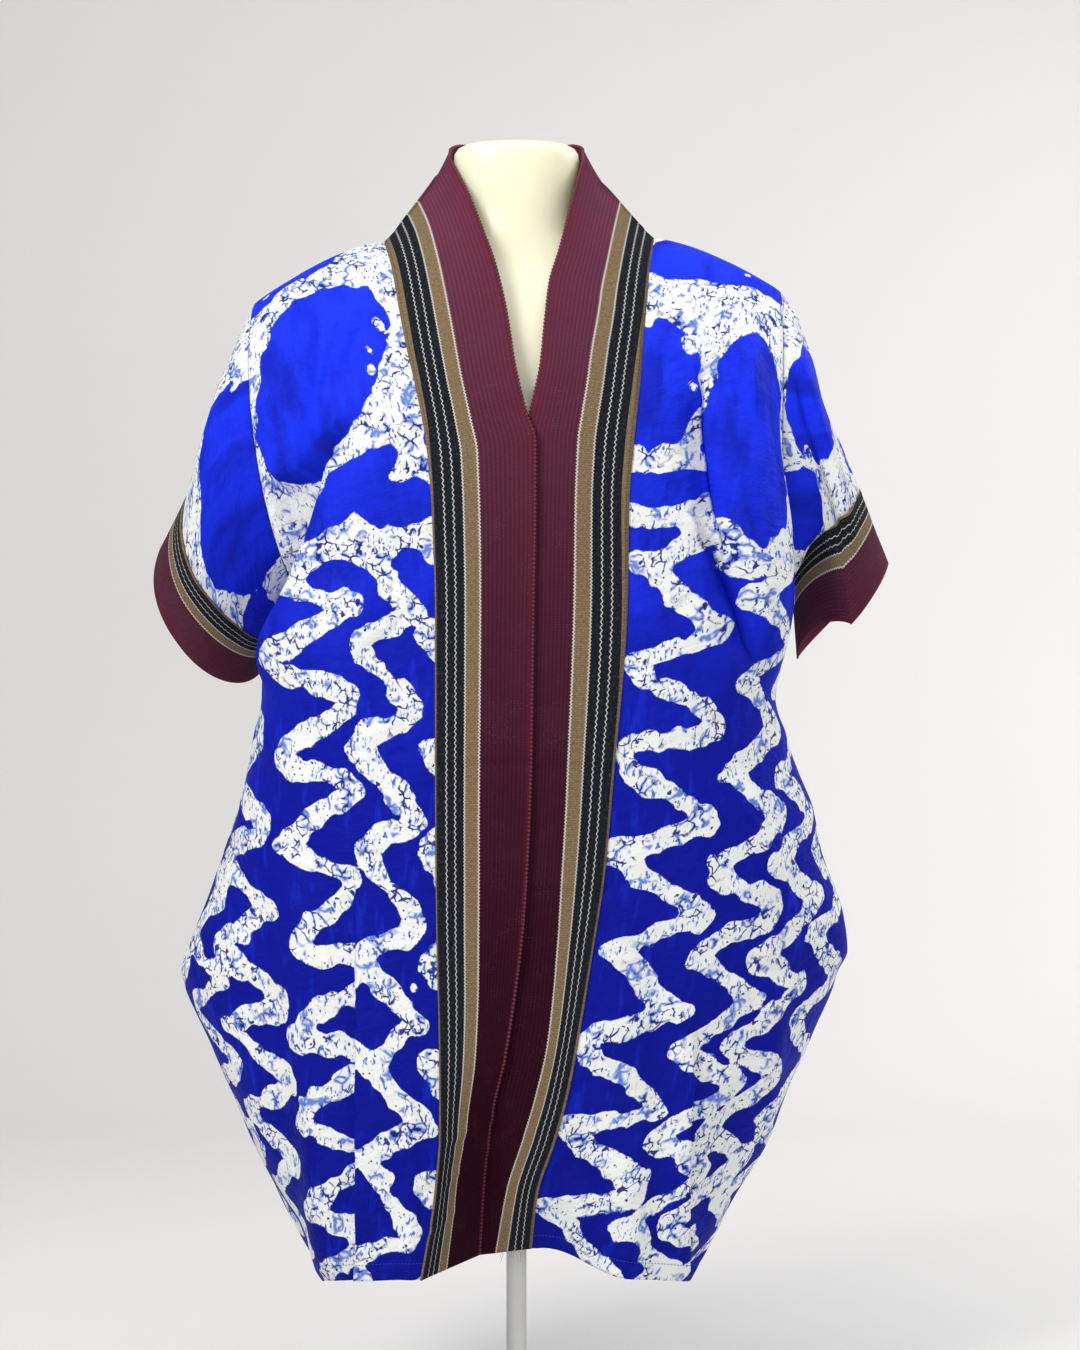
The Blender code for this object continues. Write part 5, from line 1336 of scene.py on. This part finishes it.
def moulded_plastic():
    """Glossy ivory plastic, faintly uneven in tone and polish."""
    made, tree, shader = new_material("ivory_form_plastic")
    where = add(tree, "TexCoord").outputs["Object"]
    tone = blend(tree, between(tree, grain(tree, where, 5, 3), 0.35, 0.65),
                 (0.87, 0.84, 0.60, 1), (0.91, 0.88, 0.66, 1))
    tree.links.new(tone, shader.inputs["Base Color"])
    polish = between(tree, grain(tree, where, 30, 4), 0.3, 0.7, 0.36, 0.46)
    tree.links.new(polish, shader.inputs["Roughness"])
    bump = add(tree, "Bump", {"Height": grain(tree, where, 160, 2), "Strength": 0.12, "Distance": 0.0004})
    tree.links.new(bump.outputs[0], shader.inputs["Normal"])
    shader.inputs["Subsurface Weight"].default_value = 0.5
    shader.inputs["Subsurface Radius"].default_value = (1.0, 0.9, 0.7)
    shader.inputs["Subsurface Scale"].default_value = 0.03
    shader.inputs["Coat Weight"].default_value = 0.15
    shader.inputs["Coat Roughness"].default_value = 0.2
    return made


def turned(name, rings, material, node):
    """A closed body from rings of points, with a flat cap on each end."""
    rows, count = rings.shape[:2]
    index = np.arange(rows * count).reshape(rows, count)
    index = np.concatenate([index, index[:, :1]], axis=1)
    quads = np.stack([index[:-1, :-1], index[:-1, 1:], index[1:, 1:], index[1:, :-1]], axis=-1)
    caps = [index[0, :-1][::-1].tolist(), index[-1, :-1].tolist()]
    mesh = bpy.data.meshes.new(name)
    mesh.from_pydata((rings.reshape(-1, 3) * MM).tolist(), [], quads.reshape(-1, 4).tolist() + caps)
    thing = new_piece(name, mesh, material)
    mesh.set_sharp_from_angle(angle=math.radians(40))
    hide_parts(node)
    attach(thing, "root")


form_angles = np.linspace(0, 2 * math.pi, FORM_COLUMNS, endpoint=False)
form_places = run_lengths(np.array([(level.height, level.half_width) for level in FORM]))
form_at = np.linspace(0, form_places[-1], FORM_ROWS)
form_read = {}
for field in Slice._fields:
    values = [getattr(level, field) for level in FORM]
    form_read[field] = through(form_places, values, form_at)[:, None]
form_x = signed_power(np.cos(form_angles)[None, :], 2 / form_read["corner"]) * form_read["half_width"]
form_deep = np.where(np.sin(form_angles)[None, :] > 0, form_read["back"], form_read["front"])
form_y = signed_power(np.sin(form_angles)[None, :], 2 / form_read["corner"]) * form_deep
form_rings = points(form_x, form_y, form_read["height"] + STAND_RISE)
turned("dress_form_shell", form_rings, moulded_plastic(), "form_torso")

# ---- The stand ---------------------------------------------------------------------------------------
# A steel tube on a heavy round foot, both painted a pale satin white. The tube pushes up into a socket
# under the dress form.

STAND_SIDES = 96

# Profiles as pairs: a height above the floor and a radius.
BASE_PROFILE = ((0, 142.0), (0.6, 144.3), (1.8, 145.0), (9.4, 145.0), (11.3, 144.2), (12.0, 142.2))
POLE_PROFILE = ((12.3, 9.0), (429.7, 9.0))


def satin_paint():
    """Pale satin paint with a fine sprayed grain."""
    made, tree, shader = new_material("pale_satin_paint")
    where = add(tree, "TexCoord").outputs["Object"]
    tone = blend(tree, grain(tree, where, 12, 3), (0.74, 0.735, 0.72, 1), (0.80, 0.795, 0.78, 1))
    tree.links.new(tone, shader.inputs["Base Color"])
    polish = between(tree, grain(tree, where, 60, 3), 0.3, 0.7, 0.42, 0.55)
    tree.links.new(polish, shader.inputs["Roughness"])
    bump = add(tree, "Bump", {"Height": grain(tree, where, 900, 1), "Strength": 0.15, "Distance": 0.0002})
    tree.links.new(bump.outputs[0], shader.inputs["Normal"])
    return made


stand_paint = satin_paint()
stand_angles = np.linspace(0, 2 * math.pi, STAND_SIDES, endpoint=False)
for stand_name, stand_node, profile in (
    ("stand_foot", "stand_base", BASE_PROFILE),
    ("stand_tube", "stand_pole", POLE_PROFILE),
):
    heights, radii = (values[:, None] for values in np.array(profile).T)
    rings = points(radii * np.cos(stand_angles), radii * np.sin(stand_angles), heights)
    turned(stand_name, rings, stand_paint, stand_node)

# ---- The sewing --------------------------------------------------------------------------------------
# Lock stitches hold the bands, the cuffs and the turned-up hems, in thread near the cloth's own colour.
# The bands' free edges keep their looped selvage, and a few tan threads hang where a band was cut.

THREAD_RADIUS = 0.28
THREAD_SIDES = 6
STITCH_PITCH = 3.2
STITCH_LENGTH = 2.3
STITCH_COLUMN = 0.55
LOOP_PITCH, LOOP_RADIUS, LOOP_SWELL = 0.9, 1.2, 0.65
LOOSE_ENDS, LOOSE_END_RINGS, LOOSE_END_LENGTHS = 9, 9, (5, 12)


def thread_material(name, colour):
    """Twisted thread, with painted shade for the hollows between its turns, laid as random darker patches.
    """
    made, tree, shader = new_material(name)
    where = add(tree, "TexCoord").outputs["Object"]
    # Painted shade: a darker copy of the thread's colour, mixed in at random.
    shade = tuple(c * 0.6 for c in colour)
    tone = blend(tree, grain(tree, where, 1500, 2), (*shade, 1), (*colour, 1))
    tree.links.new(tone, shader.inputs["Base Color"])
    bump = add(tree, "Bump", {"Height": grain(tree, where, 2500, 1), "Strength": 0.3, "Distance": 0.0001})
    tree.links.new(bump.outputs[0], shader.inputs["Normal"])
    shader.inputs["Roughness"].default_value = 0.6
    return made


def resampled(line, outward, pitch):
    """Points a pitch apart along a line, with their outward directions."""
    length = run_lengths(line)
    at = np.arange(pitch / 2, length[-1] - pitch / 2, pitch)
    return read_between(at, length, line), unit(read_between(at, length, outward))


def tubes(name, paths, outs, radii, material):
    """Small closed tubes along paths: (tube, ring, 3), with radii for each ring."""
    count, rings = paths.shape[:2]
    run = unit(np.gradient(paths, axis=1))
    out = unit(outs - (outs * run).sum(axis=-1, keepdims=True) * run)
    side = np.cross(run, out)
    turn = np.linspace(0, 2 * math.pi, THREAD_SIDES, endpoint=False)
    spread = out[:, :, None] * np.cos(turn)[:, None] + side[:, :, None] * np.sin(turn)[:, None]
    spots = paths[:, :, None] + spread * np.broadcast_to(radii, (count, rings))[..., None, None]
    index = np.arange(count * rings * THREAD_SIDES).reshape(count, rings, THREAD_SIDES)
    wrap = np.concatenate([index, index[:, :, :1]], axis=2)
    quads = np.stack([wrap[:, :-1, :-1], wrap[:, :-1, 1:], wrap[:, 1:, 1:], wrap[:, 1:, :-1]], axis=-1)
    faces = quads.reshape(-1, 4).tolist() + index[:, 0, ::-1].tolist() + index[:, -1].tolist()
    mesh = bpy.data.meshes.new(name)
    mesh.from_pydata(((spots.reshape(-1, 3) + (0, 0, STAND_RISE)) * MM).tolist(), [], faces)
    thing = new_piece(name, mesh, material)
    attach(thing, "root")
    return thing


def stitch_run(name, line, outward, material):
    """A run of lock stitches: short threads that rise out of the cloth and dip back into it."""
    middle, out = resampled(line, outward, STITCH_PITCH)
    run = unit(np.gradient(middle, axis=0))
    steps = np.array([-0.5, -0.3, 0.0, 0.3, 0.5])
    rise = np.array([-0.35, 0.08, 0.2, 0.08, -0.35])
    paths = middle[:, None] + run[:, None] * (steps * STITCH_LENGTH)[None, :, None]
    paths = paths + out[:, None] * rise[None, :, None]
    outs = np.repeat(out[:, None], len(steps), axis=1)
    return tubes(name, paths, outs, THREAD_RADIUS * np.array([0.7, 1, 1, 1, 0.7]), material)


def inset_line(skin, facing, column_at):
    """A line down a skin at a fractional column, and which way the cloth faces there."""
    low = int(column_at)
    share = column_at - low
    faces = skin_directions(skin, facing)
    line = skin[:, low] * (1 - share) + skin[:, low + 1] * share
    return line, unit(faces[:, low] * (1 - share) + faces[:, low + 1] * share)


def hem_line(skin, climb, facing):
    """A line along a turned-up hem at its stitches, and which way the cloth faces there."""
    row = (climb < HEM_TURN).sum(axis=0) - 1
    place = np.arange(skin.shape[1])
    share = ((HEM_TURN - climb[row, place]) / (climb[row + 1, place] - climb[row, place]))[:, None]
    faces = skin_directions(skin, facing)
    line = skin[row, place] * (1 - share) + skin[row + 1, place] * share
    return line[1:-1], unit(faces[row, place] * (1 - share) + faces[row + 1, place] * share)[1:-1]


def loose_threads(name, edge, material, seed):
    """Cut thread ends that hang from an edge, each with its own curl."""
    draw = np.random.default_rng(seed)
    place = np.sort(draw.uniform(0, len(edge) - 1, LOOSE_ENDS))
    starts = read_between(place, np.arange(len(edge)), edge)
    lengths = draw.uniform(*LOOSE_END_LENGTHS, LOOSE_ENDS)
    down = np.linspace(-1.5, 1, LOOSE_END_RINGS)[None, :] * lengths[:, None]
    sway = draw.uniform(-0.45, 0.45, (2, LOOSE_ENDS, 1)) * down
    sway = sway + draw.uniform(-1, 1, (2, LOOSE_ENDS, 1)) * np.sin(down * 0.5)
    paths = starts[:, None] + points(sway[0], 0.5 * sway[1], -np.maximum(down, -2.5))
    outs = np.broadcast_to(np.array([0.0, -1.0, 0.05]), paths.shape)
    return tubes(name, paths, outs, np.linspace(0.26, 0.14, LOOSE_END_RINGS), material)


tan_thread = thread_material("tan_thread", (0.40, 0.31, 0.17))
blue_thread = thread_material("blue_thread", (0.02, 0.035, 0.55))
black_thread = thread_material("black_thread", (0.02, 0.022, 0.03))
selvage_thread = thread_material("selvage_thread", (0.12, 0.009, 0.028))

band_sewing = {}
for band_name, skin, side in (("right", band_right_skin, -1), ("left", band_left_skin, 1)):
    line, out = inset_line(skin, -side, STITCH_COLUMN)
    outer = stitch_run("band_%s_stitches" % band_name, line, out, black_thread)
    line, out = inset_line(skin, -side, BAND_COLUMNS - 1.001)
    middle, out = resampled(line, out, LOOP_PITCH)
    swell = LOOP_RADIUS + LOOP_SWELL * np.sin(np.arange(len(middle)) * math.pi / 2)
    paths = (middle - out * WOVEN_THICKNESS / 2)[None]
    selvage = "band_%s_selvage" % band_name
    loops = tubes(selvage, paths, out[None], swell[None], selvage_thread)
    band_sewing[band_name] = [outer, loops]

cut_end = band_left_skin[0, 2:15] + (0, 0, 0.6)
thread_ends = loose_threads("band_left_thread_ends", cut_end, tan_thread, 801)
band_sewing["left"].append(thread_ends)

for hem_name, skin, climb, side in (
    ("front_right", front_right_skin, front_right_climb, -1),
    ("front_left", front_left_skin, front_left_climb, 1),
    ("back", back_skin, back_along - back_along[:1], -1),
):
    line, out = hem_line(skin, climb, side)
    stitches = stitch_run("%s_hem_stitches" % hem_name, line, out, blue_thread)

for cuff_name, skin, side in (("right", cuff_right_skin, -1), ("left", cuff_left_skin, 1)):
    out = skin_directions(skin, -side)[1]
    stitches = stitch_run("cuff_%s_stitches" % cuff_name, skin[1], out, black_thread)

# ---- The floor and the light -------------------------------------------------------------------------
# A plain pale paper floor that sweeps up into a backdrop. The main light is a broad lamp high on the
# wearer's right, with weak lamps in front, on the left, above, and on the floor and the backdrop.

SWEEP_FRONT, SWEEP_BACK, SWEEP_RADIUS, SWEEP_TOP, SWEEP_HALF_WIDTH = -4.0, 1.5, 1.0, 4.0, 5.0

paper, paper_tree, paper_shader = new_material("pale_paper")
paper_where = add(paper_tree, "TexCoord").outputs["Object"]
paper_mottle = grain(paper_tree, paper_where, 1.2, 2)
paper_tone = blend(paper_tree, paper_mottle, (0.74, 0.73, 0.715, 1), (0.78, 0.77, 0.755, 1))
paper_tree.links.new(paper_tone, paper_shader.inputs["Base Color"])
paper_shader.inputs["Roughness"].default_value = 0.9

turn = np.linspace(0, math.pi / 2, 24)
sweep = [(SWEEP_FRONT, 0.0)]
sweep += list(zip(SWEEP_BACK + SWEEP_RADIUS * np.sin(turn), SWEEP_RADIUS * (1 - np.cos(turn))))
sweep += [(SWEEP_BACK + SWEEP_RADIUS, SWEEP_TOP)]
corners = [(x, y, z) for y, z in sweep for x in (-SWEEP_HALF_WIDTH, SWEEP_HALF_WIDTH)]
floor_faces = [(i, i + 1, i + 3, i + 2) for i in range(0, len(corners) - 2, 2)]
floor_mesh = bpy.data.meshes.new("studio_floor")
floor_mesh.from_pydata(corners, [], floor_faces)
floor = new_piece("studio_floor", floor_mesh, paper)


def soft_lamp(name, at, toward, size, power, tint):
    """A square or oblong lamp that faces a point. Places and sizes are metres."""
    lamp = bpy.data.lights.new(name, "AREA")
    lamp.shape = "RECTANGLE"
    lamp.size, lamp.size_y = size
    lamp.energy = power
    lamp.color = tint
    thing = bpy.data.objects.new(name, lamp)
    thing.location = at
    thing.rotation_euler = (Vector(toward) - Vector(at)).to_track_quat("-Z", "Y").to_euler()
    bpy.context.scene.collection.objects.link(thing)


soft_lamp("key", (-1.9, -2.2, 2.5), (0, 0, 0.75), (1.3, 1.3), 79, (1.0, 0.99, 0.97))
soft_lamp("fill", (2.0, -2.8, 0.9), (0, 0, 0.6), (1.8, 1.8), 11, (0.97, 0.98, 1.0))
soft_lamp("front", (0.3, -3.3, 1.2), (0, 0, 0.9), (1.2, 1.2), 18, (1.0, 1.0, 1.0))
soft_lamp("top", (0, -0.3, 3.0), (0, 0.1, 0.8), (2.2, 1.6), 22, (1.0, 1.0, 1.0))
soft_lamp("backdrop", (1.6, 0.4, 2.6), (0.9, 2.5, 0.3), (2.0, 1.0), 10, (1.0, 1.0, 1.0))
soft_lamp("floor", (1.9, 0.6, 1.9), (1.3, 0.9, 0), (1.0, 1.0), 31, (1.0, 1.0, 1.0))

world = bpy.data.worlds.new("studio")
world.use_nodes = True
world.node_tree.nodes["Background"].inputs["Color"].default_value = (0.93, 0.95, 1.0, 1)
world.node_tree.nodes["Background"].inputs["Strength"].default_value = 0.22
bpy.context.scene.world = world

bpy.context.view_layer.update()
